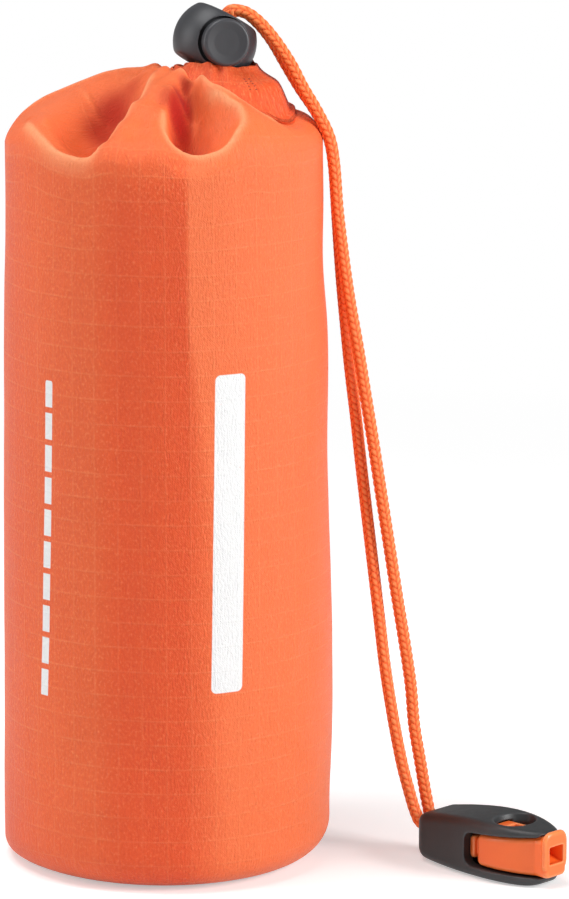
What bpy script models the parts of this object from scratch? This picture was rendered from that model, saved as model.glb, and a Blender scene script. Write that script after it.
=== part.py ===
"""Survival tent packed in its drawstring stuff sack, with cord lock, doubled cord and whistle clip.

Metres, +Z up. The origin is the centre of the sack's base, on the ground. The sack's front faces -Y.
"""

import math

import bmesh
import bpy
from mathutils import Matrix, Vector

MM = 0.001
CLEARANCE = 0.0003

# Stuff sack
FABRIC_THICKNESS = 0.0006
SACK_BASE_RADIUS = 0.0357
SACK_TOP_RADIUS = 0.0341
SACK_CREASE_HEIGHT = 0.1555
SACK_BASE_CORNER = 0.0042
SHOULDER_RADIUS = 0.0052
SIDE_ROWS = 5
CORNER_ROWS = 4
TOP_ROWS = 9
SACK_STEPS = 60

# Gathered neck and its hem channel
NECK_OFFSET = (0.0105, 0.0022)
NECK_RISE = 0.0118
NECK_TILT = 0.0030
FOLD_START_SHARE = 0.22
FOLD_LOSS_AT_NECK = 0.6
CHANNEL_RADIUS = 0.0102
CHANNEL_WALL = 0.0006
HEM_HEIGHT = 0.0042
HEM_THICKNESS = 0.0012
CHANNEL_STEPS = 36
EXIT_HALF_WIDTH = 0.0056
LOOP_START_TURN = 27.0

# Drawcord
CORD_DIAMETER = 0.0028
CORD_SLACK = 0.00035
CORD_POINT_STEP = 2.4
CORD_END_LENGTH = 0.0008

# Tent film, rolled up
ROLL_TOP_GAP = 0.0106
ROLL_SIDE_GAP = 0.0014
ROLL_CORE_RADIUS = 0.0040
ROLL_TURNS = 6
ROLL_POINTS_PER_TURN = 26
FILM_GAP = 0.0006

# Cord lock: a ball cut by two flats, with a push button
LOCK_RADIUS = 0.0090
LOCK_THICKNESS = 0.0120
LOCK_EDGE_RADIUS = 0.0005
LOCK_STEPS = 36
LOCK_LEAN_RIGHT = math.radians(27.9)
LOCK_LEAN_BACK = math.radians(11.7)
LOCK_SWING = math.radians(10.4)
LOCK_SHIFT = (0.0005, 0.0005)
LOCK_RISE = 0.01055
LOCK_WALL = 0.0009
CORD_PAIR_GAP = 0.0003
BUTTON_RADIUS = 0.0046
BUTTON_HEIGHT = 0.0024
BUTTON_FACE = 0.0101
BUTTON_RIM_GAP = 0.0006
STEM_RADIUS = 0.0036
STEM_END_WALL = 0.0011
PRESS_TRAVEL = 0.0024
SPRING_WIRE = 0.0004
SPRING_RADIUS = 0.0016
SPRING_TURNS = 4
SPRING_POCKET_WALL = 0.0009

# Whistle clip
CLIP_STANDOFF = 0.0225
CLIP_FORWARD = 0.0058
CLIP_TURN = math.radians(-46.0)
CLIP_LENGTH = 0.0342
CLIP_REAR_HEIGHT = 0.0104
CLIP_HEIGHT = 0.0128
CLIP_REAR_HALF_WIDTH = 0.0056
CLIP_HALF_WIDTH = 0.0073
CLIP_WIDEST_SHARE = 0.60
CLIP_TIP_HALF_WIDTH = 0.0027
CLIP_CORNER = 0.0016
CLIP_EDGE_RADIUS = 0.0010
CLIP_STATIONS = (0.2, 0.32, 0.46, 0.6, 0.7, 0.8, 0.88, 0.94, 0.98)
CLIP_TIP_RISE = 0.0010
CLIP_REAR_RISE = 0.0008
CORD_HOLE_SPACING = 0.0040
CORD_HOLE_HEIGHT = 0.0054
CLIP_LIFT = 0.0001
CUT_BEYOND = 0.004

# The clip's jaws and the window over the whistle
JAW_ROOT = 0.0150
JAW_ROOT_GAP = 0.0072
JAW_MOUTH_GAP = 0.0092
JAW_RISE = 0.0006
JAW_ROOT_HEIGHT = 0.0060
WINDOW_CENTRE = 0.0242
WINDOW_LENGTH = 0.0072
WINDOW_WIDTH = 0.0092
POCKET_LENGTH = 0.0096

# Whistle insert
INSERT_OVERHANG = 0.0016
INSERT_INSET = 0.0008
INSERT_MOUTH_HALF_WIDTH = 0.0033
INSERT_EDGE_RADIUS = 0.0005
INSERT_STATIONS = (0.0, 0.18, 0.36, 0.52, 0.66, 0.78, 0.88, 0.95)
RIB_LENGTH = 0.0021
RIB_GROOVE_WIDTH = 0.0012
RIB_GROOVE_DEPTH = 0.0011
MOUTH_WIDTH = 0.0044
MOUTH_HEIGHT = 0.0044
MOUTH_DEPTH = 0.0070
CHAMBER_WALL = 0.0012
VENT_LENGTH = 0.0024

# Knot that joins the cord's two ends inside the clip
KNOT_SIZE = 0.00105
KNOT_CORD_RADIUS = 0.00095
KNOT_POINTS = 40

# Sizes that follow from those above
CHANNEL_BORE_RADIUS = CORD_DIAMETER / 2 + CORD_SLACK
CHANNEL_TUBE_RADIUS = CHANNEL_BORE_RADIUS + CHANNEL_WALL
SACK_LIP_RADIUS = SACK_TOP_RADIUS - SHOULDER_RADIUS
SACK_LIP_HEIGHT = SACK_CREASE_HEIGHT + SHOULDER_RADIUS
NECK_RADIUS = CHANNEL_RADIUS + CHANNEL_TUBE_RADIUS + CLEARANCE
CHANNEL_HEIGHT = SACK_LIP_HEIGHT + NECK_RISE - NECK_TILT - CHANNEL_BORE_RADIUS
CORD_PAIR_OFFSET = (CORD_DIAMETER + CORD_PAIR_GAP) / 2
PAIR_REACH = CORD_PAIR_OFFSET + CORD_DIAMETER / 2 + CLEARANCE
CORD_SLOT_HALF_WIDTH = CORD_DIAMETER / 2 + CLEARANCE
SACK_FLOOR_RADIUS = SACK_BASE_RADIUS - SACK_BASE_CORNER
ROLL_RADIUS = min(SACK_TOP_RADIUS - FABRIC_THICKNESS - ROLL_SIDE_GAP, SACK_FLOOR_RADIUS - CLEARANCE)
ROLL_FLOOR = FABRIC_THICKNESS + CLEARANCE
ROLL_LENGTH = SACK_CREASE_HEIGHT - ROLL_TOP_GAP - ROLL_FLOOR
LOCK_CENTRE = (
    NECK_OFFSET[0] + LOCK_SHIFT[0],
    NECK_OFFSET[1] + LOCK_SHIFT[1],
    CHANNEL_HEIGHT + LOCK_RISE,
)
CLIP_REAR = (SACK_BASE_RADIUS + CLIP_STANDOFF, -CLIP_FORWARD)
POCKET_HALF = 3 * KNOT_SIZE + KNOT_CORD_RADIUS + CLEARANCE
STEM_BORE_RADIUS = STEM_RADIUS + CLEARANCE
STEM_BORE_DEPTH = math.sqrt(LOCK_RADIUS**2 - STEM_BORE_RADIUS**2) - LOCK_WALL
SPRING_POCKET_RADIUS = SPRING_RADIUS + SPRING_WIRE / 2 + CLEARANCE
SPRING_POCKET_DEPTH = math.sqrt(LOCK_RADIUS**2 - SPRING_POCKET_RADIUS**2) - SPRING_POCKET_WALL
STEM_END = -PAIR_REACH - STEM_END_WALL


class Fold:
    """A crest or a hollow pressed into the sack's gathered top, along a line seen from above."""

    def __init__(self, height, width, *line):
        self.height = height * MM
        self.width = width * MM
        self.line = [Vector((x * MM, y * MM)) for x, y in line]

    def lift(self, place):
        """How far the fold raises the cloth at this place."""
        nearest = min(self._distance(place, a, b) for a, b in zip(self.line, self.line[1:]))
        return self.height * math.exp(-((nearest / self.width) ** 2))

    @staticmethod
    def _distance(place, start, end):
        along = end - start
        share = max(0.0, min(1.0, (place - start).dot(along) / along.length_squared))
        return (place - start - along * share).length


# Heights, widths and lines in millimetres: the front three crests and two scoops, then the back
FOLDS = (
    Fold(3.2, 7.0, (-30, 3), (-22, 5), (-14, 5), (-3, 2)),
    Fold(2.9, 4.4, (-8, -29), (-6, -25), (-4, -13), (-1, -7)),
    Fold(1.7, 3.4, (1, -8), (12, -13), (25, -15)),
    Fold(-7.4, 6.2, (-19, -20), (-14, -14), (-8, -7)),
    Fold(-9.0, 4.4, (5, -25), (4, -19), (1, -12)),
    Fold(-2.4, 3.6, (17, -11), (26, -8)),
    Fold(2.2, 4.0, (29, 8), (24, 6)),
    Fold(-3.6, 3.8, (26, 16), (21, 11)),
    Fold(2.0, 3.8, (19, 24), (16, 16)),
    Fold(-4.6, 4.0, (9, 27), (10, 17)),
    Fold(2.2, 4.0, (-2, 29), (3, 15)),
    Fold(-5.0, 4.6, (-13, 24), (-4, 12)),
    Fold(1.8, 4.2, (-23, 18), (-8, 9)),
    Fold(-2.8, 4.0, (-27, -7), (-14, -3)),
)


def clear_scene():
    for obj in list(bpy.data.objects):
        bpy.data.objects.remove(obj, do_unlink=True)


def new_collection(name):
    collection = bpy.data.collections.new(name)
    bpy.context.scene.collection.children.link(collection)
    return collection


clear_scene()
PARTS = new_collection("survival_tent")
CUTTERS = new_collection("cutters")


def material(name, color, roughness, metallic=0.0):
    made = bpy.data.materials.new(name)
    made.use_nodes = True
    shader = made.node_tree.nodes["Principled BSDF"]
    shader.inputs["Base Color"].default_value = (*color, 1.0)
    shader.inputs["Roughness"].default_value = roughness
    shader.inputs["Metallic"].default_value = metallic
    return made


RIPSTOP = material("orange_ripstop", (0.86, 0.17, 0.055), 0.62)
CORD = material("orange_cord", (0.90, 0.20, 0.05), 0.75)
LOCK_PLASTIC = material("dark_grey_plastic", (0.045, 0.046, 0.052), 0.5)
CLIP_PLASTIC = material("black_plastic", (0.022, 0.022, 0.024), 0.45)
WHISTLE_PLASTIC = material("orange_plastic", (0.92, 0.16, 0.035), 0.32)
TENT_FILM = material("metallised_film", (0.75, 0.76, 0.78), 0.25, 0.9)
SPRING_STEEL = material("spring_steel", (0.6, 0.6, 0.62), 0.3, 1.0)


def as_part(obj, finish, parent=None):
    """Files an object under the parts, with its finish and the frame that carries it."""
    PARTS.objects.link(obj)
    obj.data.materials.append(finish)
    if parent is not None:
        obj.parent = parent
    return obj


def as_cutter(obj, parent=None):
    CUTTERS.objects.link(obj)
    obj.hide_render = True
    obj.display_type = "WIRE"
    if parent is not None:
        obj.parent = parent
    return obj


def new_frame(name, matrix, parent=None):
    """An empty that carries a group of pieces."""
    empty = bpy.data.objects.new(name, None)
    PARTS.objects.link(empty)
    empty.matrix_world = matrix
    if parent is not None:
        empty.parent = parent
        empty.matrix_parent_inverse = parent.matrix_world.inverted()
    return empty


def mesh_from(name, build):
    """A mesh object from a bmesh that the given function fills."""
    bm = bmesh.new()
    build(bm)
    mesh = bpy.data.meshes.new(name)
    bm.to_mesh(mesh)
    bm.free()
    return bpy.data.objects.new(name, mesh)


def smooth(obj, degrees=35.0):
    obj.data.shade_smooth()
    obj.data.set_sharp_from_angle(angle=math.radians(degrees))


def round_edges(obj, width, segments=2):
    """Rounds the edges where faces meet at more than 50 degrees."""
    bevel = obj.modifiers.new("Round", "BEVEL")
    bevel.width = width
    bevel.segments = segments
    bevel.limit_method = "ANGLE"
    bevel.angle_limit = math.radians(50)


def cut(obj, cutter, operation="DIFFERENCE"):
    modifier = obj.modifiers.new(cutter.name, "BOOLEAN")
    modifier.operation = operation
    modifier.solver = "EXACT"
    modifier.object = cutter


def turned(name, profile, steps):
    """A profile of (radius, height) points, top to bottom, turned about Z."""
    mesh = bpy.data.meshes.new(name)
    points = [(radius, 0.0, height) for radius, height in profile]
    mesh.from_pydata(points, [(i, i + 1) for i in range(len(points) - 1)], [])
    obj = bpy.data.objects.new(name, mesh)
    screw = obj.modifiers.new("Turn", "SCREW")
    screw.steps = steps
    screw.render_steps = steps
    screw.use_merge_vertices = True
    screw.merge_threshold = 1e-5
    screw.use_normal_calculate = True
    return obj


def cylinder(name, radius, low, high, steps=32):
    """A cylinder about Z between two heights."""

    def build(bm):
        bmesh.ops.create_cone(
            bm, cap_ends=True, segments=steps, radius1=radius, radius2=radius, depth=high - low
        )
        bmesh.ops.translate(bm, verts=bm.verts, vec=(0, 0, (low + high) / 2))

    return mesh_from(name, build)


def box(name, low, high):
    """A box between two corners."""
    low, high = Vector(low), Vector(high)

    def build(bm):
        bmesh.ops.create_cube(bm, size=1.0)
        bmesh.ops.scale(bm, verts=bm.verts, vec=high - low)
        bmesh.ops.translate(bm, verts=bm.verts, vec=(low + high) / 2)

    return mesh_from(name, build)


def curve_object(name, points, radius, resolution, cyclic=False):
    """A round tube along points, with its ends capped."""
    curve = bpy.data.curves.new(name, "CURVE")
    curve.dimensions = "3D"
    curve.bevel_depth = radius
    curve.bevel_resolution = resolution
    curve.use_fill_caps = not cyclic
    spline = curve.splines.new("POLY")
    spline.points.add(len(points) - 1)
    for target, point in zip(spline.points, points):
        target.co = (*point, 1.0)
    spline.use_cyclic_u = cyclic
    return bpy.data.objects.new(name, curve)


def flat_outline(name, outline, low, high):
    """A closed flat outline, thickened from one height to another."""
    curve = bpy.data.curves.new(name, "CURVE")
    curve.dimensions = "2D"
    curve.fill_mode = "BOTH"
    curve.extrude = (high - low) / 2
    spline = curve.splines.new("POLY")
    spline.points.add(len(outline) - 1)
    for target, (x, y) in zip(spline.points, outline):
        target.co = (x, y, 0.0, 1.0)
    spline.use_cyclic_u = True
    obj = bpy.data.objects.new(name, curve)
    obj.location.z = (low + high) / 2
    return obj


def made_mesh(obj):
    """The mesh that a curve object evaluates to, welded, in its place; the curve goes."""
    bpy.context.scene.collection.objects.link(obj)
    bpy.context.view_layer.update()
    graph = bpy.context.evaluated_depsgraph_get()
    mesh = bpy.data.meshes.new_from_object(obj.evaluated_get(graph))
    bm = bmesh.new()
    bm.from_mesh(mesh)
    bmesh.ops.remove_doubles(bm, verts=bm.verts, dist=1e-5)
    bmesh.ops.dissolve_limit(
        bm, angle_limit=math.radians(0.2), verts=bm.verts, edges=bm.edges
    )
    bm.to_mesh(mesh)
    bm.free()
    name, place = obj.name, obj.matrix_world.copy()
    bpy.data.objects.remove(obj, do_unlink=True)
    made = bpy.data.objects.new(name, mesh)
    made.matrix_world = place
    mesh.name = name
    return made


def catmull_rom(points, steps=16):
    """A smooth curve through the points."""
    points = [Vector(p) for p in points]
    padded = [2 * points[0] - points[1], *points, 2 * points[-1] - points[-2]]
    made = []
    for a, b, c, d in zip(padded, padded[1:], padded[2:], padded[3:]):
        for step in range(steps):
            t = step / steps
            made.append(
                0.5
                * (
                    2 * b
                    + (c - a) * t
                    + (2 * a - 5 * b + 4 * c - d) * t**2
                    + (3 * b - a - 3 * c + d) * t**3
                )
            )
    return [*made, points[-1]]


def settled(points, longest=CORD_POINT_STEP * CORD_DIAMETER, turn=math.radians(13)):
    """Points of the same curve, closer together where it turns, with both its ends."""
    made = [points[0]]
    run = 0.0
    heading = points[1] - points[0]
    for before, here, after in zip(points, points[1:], points[2:]):
        run += (here - before).length
        ahead = after - here
        if run >= longest or heading.angle(ahead, 0.0) >= turn:
            made.append(here)
            heading = ahead
            run = 0.0
    if run < longest / 4 and len(made) > 2:
        made.pop()
    return [*made, points[-1]]


def arc(centre, radius, start, end, steps):
    """Points of an arc, from one angle in degrees to another."""
    found = []
    for step in range(steps + 1):
        angle = math.radians(start + (end - start) * step / steps)
        found.append((centre[0] + radius * math.cos(angle), centre[1] + radius * math.sin(angle)))
    return found


# Frames that carry the moving groups
SACK_FRAME = new_frame("sack_frame", Matrix.Identity(4))
LOCK_TURN = (
    Matrix.Rotation(LOCK_LEAN_RIGHT, 4, "Y")
    @ Matrix.Rotation(-LOCK_LEAN_BACK, 4, "X")
    @ Matrix.Rotation(LOCK_SWING, 4, "Z")
)
LOCK_FRAME = new_frame("lock_frame", Matrix.Translation(LOCK_CENTRE) @ LOCK_TURN, SACK_FRAME)
PLUNGER_FRAME = new_frame("plunger_frame", LOCK_FRAME.matrix_world, LOCK_FRAME)
CLIP_FRAME = new_frame(
    "clip_frame",
    Matrix.Translation((*CLIP_REAR, CLIP_LIFT)) @ Matrix.Rotation(CLIP_TURN, 4, "Z"),
    SACK_FRAME,
)
INSERT_FRAME = new_frame("insert_frame", CLIP_FRAME.matrix_world, CLIP_FRAME)
bpy.context.view_layer.update()


def in_lock(x, y, z):
    return LOCK_FRAME.matrix_world @ Vector((x, y, z))


def in_clip(x, y, z):
    return CLIP_FRAME.matrix_world @ Vector((x, y, z))


def sack_profile():
    """The sack's side and flat top as a turned profile, from the neck down to the base."""
    top = [
        (SACK_LIP_RADIUS + (NECK_RADIUS - SACK_LIP_RADIUS) * row / TOP_ROWS, SACK_LIP_HEIGHT)
        for row in range(TOP_ROWS, 0, -1)
    ]
    shoulder = arc((SACK_LIP_RADIUS, SACK_CREASE_HEIGHT), SHOULDER_RADIUS, 90, 0, CORNER_ROWS)
    floor = FABRIC_THICKNESS / 2
    corner_centre = (SACK_FLOOR_RADIUS, floor + SACK_BASE_CORNER)
    corner = arc(corner_centre, SACK_BASE_CORNER, 0, -90, CORNER_ROWS)
    side = [
        (
            SACK_TOP_RADIUS + (SACK_BASE_RADIUS - SACK_TOP_RADIUS) * row / SIDE_ROWS,
            SACK_CREASE_HEIGHT + (corner_centre[1] - SACK_CREASE_HEIGHT) * row / SIDE_ROWS,
        )
        for row in range(1, SIDE_ROWS)
    ]
    return [*top, *shoulder, *side, *corner]


def gathered(point):
    """Where a point of the flat top lies once the neck is drawn in and the folds are made."""
    radius = math.hypot(point.x, point.y)
    run = (SACK_LIP_RADIUS - radius) / (SACK_LIP_RADIUS - NECK_RADIUS)
    if run <= 0.0:
        return point
    place = Vector((point.x + NECK_OFFSET[0] * run, point.y + NECK_OFFSET[1] * run))
    rise = (NECK_RISE - NECK_TILT * point.x / radius) * run
    start = min(1.0, run / FOLD_START_SHARE)
    fade_in = start * start * (3.0 - 2.0 * start)
    hold = 1.0 - FOLD_LOSS_AT_NECK * run**3
    lift = sum(fold.lift(place) for fold in FOLDS) * fade_in * hold
    return Vector((place.x, place.y, point.z + rise + lift))


def make_sack_body():
    def build(bm):
        points = [bm.verts.new((radius, 0.0, height)) for radius, height in sack_profile()]
        edges = [bm.edges.new(pair) for pair in zip(points, points[1:])]
        bmesh.ops.spin(
            bm,
            geom=[*points, *edges],
            cent=(0, 0, 0),
            axis=(0, 0, 1),
            angle=2 * math.pi,
            steps=SACK_STEPS,
            use_merge=True,
        )
        bmesh.ops.remove_doubles(bm, verts=bm.verts, dist=1e-6)
        bmesh.ops.recalc_face_normals(bm, faces=bm.faces)
        for vert in bm.verts:
            vert.co = gathered(vert.co)

    body = as_part(mesh_from("sack_body", build), RIPSTOP, SACK_FRAME)
    outward = sum(face.normal.dot(face.center) for face in body.data.polygons)
    if outward < 0:
        body.data.flip_normals()
    wall = body.modifiers.new("Cloth", "SOLIDIFY")
    wall.thickness = FABRIC_THICKNESS
    wall.offset = -1.0
    wall.use_even_offset = False
    body.data.shade_smooth()


def make_sack_base():
    disc = cylinder("sack_base", SACK_FLOOR_RADIUS - CLEARANCE, 0.0, FABRIC_THICKNESS, SACK_STEPS)
    as_part(disc, RIPSTOP, SACK_FRAME)


def make_tent_roll():
    """The tent's film, folded to a long strip and rolled up: one spiral with an open gap."""
    pitch = (ROLL_RADIUS - ROLL_CORE_RADIUS) / ROLL_TURNS
    thickness = pitch - FILM_GAP

    def spiral(start_radius):
        found = []
        for step in range(ROLL_TURNS * ROLL_POINTS_PER_TURN - ROLL_POINTS_PER_TURN + 1):
            turn = step / ROLL_POINTS_PER_TURN
            radius = start_radius + pitch * turn
            angle = 2 * math.pi * turn
            found.append((radius * math.cos(angle), radius * math.sin(angle)))
        return found

    outer = spiral(ROLL_CORE_RADIUS + thickness)
    inner = spiral(ROLL_CORE_RADIUS)
    roll = made_mesh(
        flat_outline("tent_roll", [*outer, *reversed(inner)], ROLL_FLOOR, ROLL_FLOOR + ROLL_LENGTH)
    )
    as_part(roll, TENT_FILM, SACK_FRAME)


def make_drawcord_channel():
    """The hem at the sack's mouth: a gathered sleeve round the cord, with its edge standing up."""
    centre = (*NECK_OFFSET, CHANNEL_HEIGHT)
    tube = arc((CHANNEL_RADIUS, 0.0), CHANNEL_TUBE_RADIUS, 90, -270, 14)
    sleeve = turned("drawcord_channel", tube, CHANNEL_STEPS)
    sleeve.location = centre
    as_part(sleeve, RIPSTOP, SACK_FRAME)
    bore = turned(
        "channel_bore", arc((CHANNEL_RADIUS, 0.0), CHANNEL_BORE_RADIUS, 90, -270, 10), CHANNEL_STEPS
    )
    bore.location = centre
    inner, outer = CHANNEL_RADIUS - HEM_THICKNESS / 2, CHANNEL_RADIUS + HEM_THICKNESS / 2
    hem_low = CHANNEL_BORE_RADIUS + CHANNEL_WALL / 3
    hem_high = CHANNEL_TUBE_RADIUS + HEM_HEIGHT
    hem = turned(
        "channel_hem",
        [
            (inner, hem_high),
            (outer, hem_high),
            (outer, hem_low),
            (inner, hem_low),
            (inner, hem_high),
        ],
        CHANNEL_STEPS,
    )
    hem.location = centre
    mouth = box(
        "channel_exit",
        (-CHANNEL_RADIUS - CHANNEL_TUBE_RADIUS * 0.45, -EXIT_HALF_WIDTH, -CHANNEL_BORE_RADIUS),
        (-CHANNEL_RADIUS + 2 * CHANNEL_TUBE_RADIUS, EXIT_HALF_WIDTH, 2 * HEM_HEIGHT),
    )
    mouth.location = centre
    as_cutter(hem, SACK_FRAME)
    as_cutter(bore, SACK_FRAME)
    as_cutter(mouth, SACK_FRAME)
    cut(sleeve, hem, "UNION")
    cut(sleeve, bore)
    cut(sleeve, mouth)
    smooth(sleeve)


def drawcord_loop_route():
    """The held cord: down through the lock, once round inside the hem, and up again."""
    near, far = -CORD_PAIR_OFFSET, CORD_PAIR_OFFSET
    top, bottom = LOCK_THICKNESS / 2, -LOCK_THICKNESS / 2 - CORD_DIAMETER / 4
    round_turns = arc(
        NECK_OFFSET, CHANNEL_RADIUS, -180 + LOOP_START_TURN, 180 - LOOP_START_TURN, 28
    )
    ring = [Vector((x, y, CHANNEL_HEIGHT)) for x, y in round_turns]
    mid_front = ring[0].lerp(in_lock(0, near, bottom), 0.5)
    mid_back = ring[-1].lerp(in_lock(0, far, bottom), 0.5)
    inward = Vector((CORD_DIAMETER / 2, 0, -CORD_DIAMETER / 4))
    return [
        in_lock(0, near, top),
        in_lock(0, near, top / 3),
        in_lock(0, near, -top / 3),
        in_lock(0, near, bottom),
        mid_front + inward,
        *ring,
        mid_back + inward,
        in_lock(0, far, bottom),
        in_lock(0, far, -top / 3),
        in_lock(0, far, top / 3),
        in_lock(0, far, top),
    ]


def make_drawcord_loop():
    points = settled(catmull_rom(drawcord_loop_route()))
    loop = curve_object("drawcord_loop", points, CORD_DIAMETER / 2, 2)
    as_part(loop, CORD, SACK_FRAME)


# The free strands over the shoulder: out from the sack's side, across, and above the crease, in mm
FRONT_OVER = (
    (-18.5, 2.3, 30.1),
    (-16.1, 1.9, 29.7),
    (-13.3, 1.2, 27.3),
    (-10.5, 0.4, 23.4),
    (-7.3, -0.5, 18.3),
    (-4.4, -1.1, 13.3),
    (-1.4, -1.6, 8.2),
    (1.2, -1.9, 2.7),
)
BACK_OVER = (
    (-19.1, 5.7, 29.9),
    (-16.5, 5.7, 29.5),
    (-13.7, 4.7, 26.9),
    (-11.1, 3.8, 23.1),
    (-7.9, 2.9, 17.9),
    (-4.9, 2.2, 12.9),
    (-1.6, 1.7, 8.0),
    (1.2, 1.4, 2.5),
)
# Then down to the clip: out from the sack's side and across in mm, and the share of its height
FRONT_DOWN = (
    (2.26, -2.1, 0.9775),
    (3.05, -2.3, 0.9068),
    (4.99, -2.5, 0.8039),
    (6.87, -2.6, 0.7299),
    (8.55, -2.7, 0.6592),
    (10.24, -2.8, 0.5884),
    (11.83, -2.8, 0.5177),
    (13.51, -2.7, 0.4437),
    (15.10, -2.5, 0.3730),
    (16.78, -2.1, 0.3023),
    (18.09, -1.8, 0.2412),
    (18.79, -1.8, 0.1833),
    (20.11, -1.7, 0.1286),
    (21.04, -1.6, 0.0900),
    (21.61, -1.9, 0.0695),
    (22.08, -2.4, 0.0527),
    (22.57, -2.9, 0.0418),
)
BACK_DOWN = (
    (2.36, 1.2, 0.9762),
    (2.95, 1.1, 0.9068),
    (3.72, 1.0, 0.8232),
    (4.60, 0.9, 0.7524),
    (5.50, 0.7, 0.6881),
    (6.60, 0.4, 0.6238),
    (7.68, 0.0, 0.5531),
    (8.87, -0.5, 0.4823),
    (10.06, -1.1, 0.4116),
    (11.25, -1.7, 0.3408),
    (12.43, -2.3, 0.2701),
    (14.02, -3.2, 0.1994),
    (15.91, -3.5, 0.1318),
    (17.54, -3.9, 0.0887),
    (18.60, -4.5, 0.0643),
    (19.28, -5.2, 0.0495),
    (19.76, -5.8, 0.0405),
)


def sack_radius(share):
    """The sack's outer radius at a share of its height up to the crease."""
    return SACK_BASE_RADIUS + (SACK_TOP_RADIUS - SACK_BASE_RADIUS) * min(1.0, share)


def strand_points(side, hole_side, over, down):
    """A free strand: out of the lock's top, along its chosen points, and square into the clip."""
    start = LOCK_THICKNESS / 2 + CLEARANCE
    pair = side * CORD_PAIR_OFFSET
    hole = hole_side * CORD_HOLE_SPACING / 2
    route = [
        in_lock(0, pair, start + CORD_END_LENGTH),
        *(
            Vector((SACK_TOP_RADIUS + out * MM, across * MM, SACK_CREASE_HEIGHT + rise * MM))
            for out, across, rise in over
        ),
        *(
            Vector((sack_radius(share) + out * MM, across * MM, SACK_CREASE_HEIGHT * share))
            for out, across, share in down
        ),
        in_clip(-CLEARANCE - CORD_END_LENGTH, hole, CORD_HOLE_HEIGHT),
    ]
    return [
        in_lock(0, pair, start),
        *settled(catmull_rom(route)),
        in_clip(-CLEARANCE, hole, CORD_HOLE_HEIGHT),
    ]


def make_strands():
    for name, side, hole_side, over, down in (
        ("drawcord_strand_front", -1, 1, FRONT_OVER, FRONT_DOWN),
        ("drawcord_strand_back", 1, -1, BACK_OVER, BACK_DOWN),
    ):
        points = strand_points(side, hole_side, over, down)
        as_part(curve_object(name, points, CORD_DIAMETER / 2, 2), CORD, SACK_FRAME)


def lock_along(name, radius, low, high, steps=28):
    """A cylinder in the lock's frame, along the button's axis, which is -Y there."""
    made = cylinder(name, radius, low, high, steps)
    made.data.transform(Matrix.Rotation(math.radians(90), 4, "X"))
    return made


def cord_slot(name, half_width, low, high, reach):
    """A box for both cords, along the lock's Z, between two distances along the button's axis."""
    return box(name, (-half_width, -high, -reach), (half_width, -low, reach))


def make_lock_barrel():
    half = LOCK_THICKNESS / 2
    flat_angle = math.degrees(math.asin(half / LOCK_RADIUS))
    trim = math.degrees(LOCK_EDGE_RADIUS / LOCK_RADIUS)
    flat_radius = math.sqrt(LOCK_RADIUS**2 - half**2) - LOCK_EDGE_RADIUS / 2
    ball = arc((0.0, 0.0), LOCK_RADIUS, flat_angle - trim, trim - flat_angle, 12)
    profile = [(0.0, half), (flat_radius, half), *ball, (flat_radius, -half), (0.0, -half)]
    barrel = turned("lock_barrel", profile, LOCK_STEPS)
    as_part(barrel, LOCK_PLASTIC, LOCK_FRAME)
    head_low = BUTTON_FACE - BUTTON_HEIGHT
    recess_low = head_low - PRESS_TRAVEL - CLEARANCE
    recess = lock_along("button_recess", BUTTON_RADIUS + BUTTON_RIM_GAP, recess_low, 2 * LOCK_RADIUS)
    bore = lock_along("stem_bore", STEM_RADIUS + CLEARANCE, -STEM_BORE_DEPTH, 2 * LOCK_RADIUS)
    pocket = lock_along("spring_pocket", SPRING_POCKET_RADIUS, -SPRING_POCKET_DEPTH, 0.0, 20)
    slot = cord_slot("barrel_slot", CORD_SLOT_HALF_WIDTH, -PAIR_REACH, PAIR_REACH, LOCK_RADIUS)
    for cutter in (recess, bore, pocket, slot):
        as_cutter(cutter, LOCK_FRAME)
        cut(barrel, cutter)
    smooth(barrel)


def make_lock_plunger():
    head_low = BUTTON_FACE - BUTTON_HEIGHT
    rim = BUTTON_RADIUS * 0.12
    rounding = arc((BUTTON_RADIUS - rim, BUTTON_FACE - rim), rim, 90, 0, 3)
    profile = [
        (0.0, BUTTON_FACE),
        *rounding,
        (BUTTON_RADIUS, head_low),
        (STEM_RADIUS, head_low),
        (STEM_RADIUS, STEM_END),
        (0.0, STEM_END),
    ]
    plunger = turned("lock_plunger", profile, LOCK_STEPS)
    plunger.rotation_euler = (math.radians(90), 0.0, 0.0)
    as_part(plunger, LOCK_PLASTIC, PLUNGER_FRAME)
    slot = cord_slot(
        "plunger_slot", CORD_SLOT_HALF_WIDTH, -PAIR_REACH, PAIR_REACH + PRESS_TRAVEL, LOCK_RADIUS
    )
    as_cutter(slot, PLUNGER_FRAME)
    cut(plunger, slot)
    smooth(plunger)


def make_lock_spring():
    points_per_turn = 10
    low = -SPRING_POCKET_DEPTH + CLEARANCE + SPRING_WIRE / 2
    high = STEM_END - CLEARANCE - SPRING_WIRE / 2
    count = SPRING_TURNS * points_per_turn
    points = []
    for step in range(count + 1):
        angle = 2 * math.pi * step / points_per_turn
        along = low + (high - low) * step / count
        points.append((SPRING_RADIUS * math.cos(angle), -along, SPRING_RADIUS * math.sin(angle)))
    as_part(curve_object("lock_spring", points, SPRING_WIRE / 2, 1), SPRING_STEEL, LOCK_FRAME)


def clip_half_width(x):
    """Half the clip's width, at a distance from its rear."""
    share = x / CLIP_LENGTH
    if share < CLIP_WIDEST_SHARE:
        near, far, t = CLIP_REAR_HALF_WIDTH, CLIP_HALF_WIDTH, share / CLIP_WIDEST_SHARE
        return near + (far - near) * math.sin(t * math.pi / 2)
    t = (share - CLIP_WIDEST_SHARE) / (1.0 - CLIP_WIDEST_SHARE)
    return CLIP_TIP_HALF_WIDTH + (CLIP_HALF_WIDTH - CLIP_TIP_HALF_WIDTH) * (1.0 - t**2.2)


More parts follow.
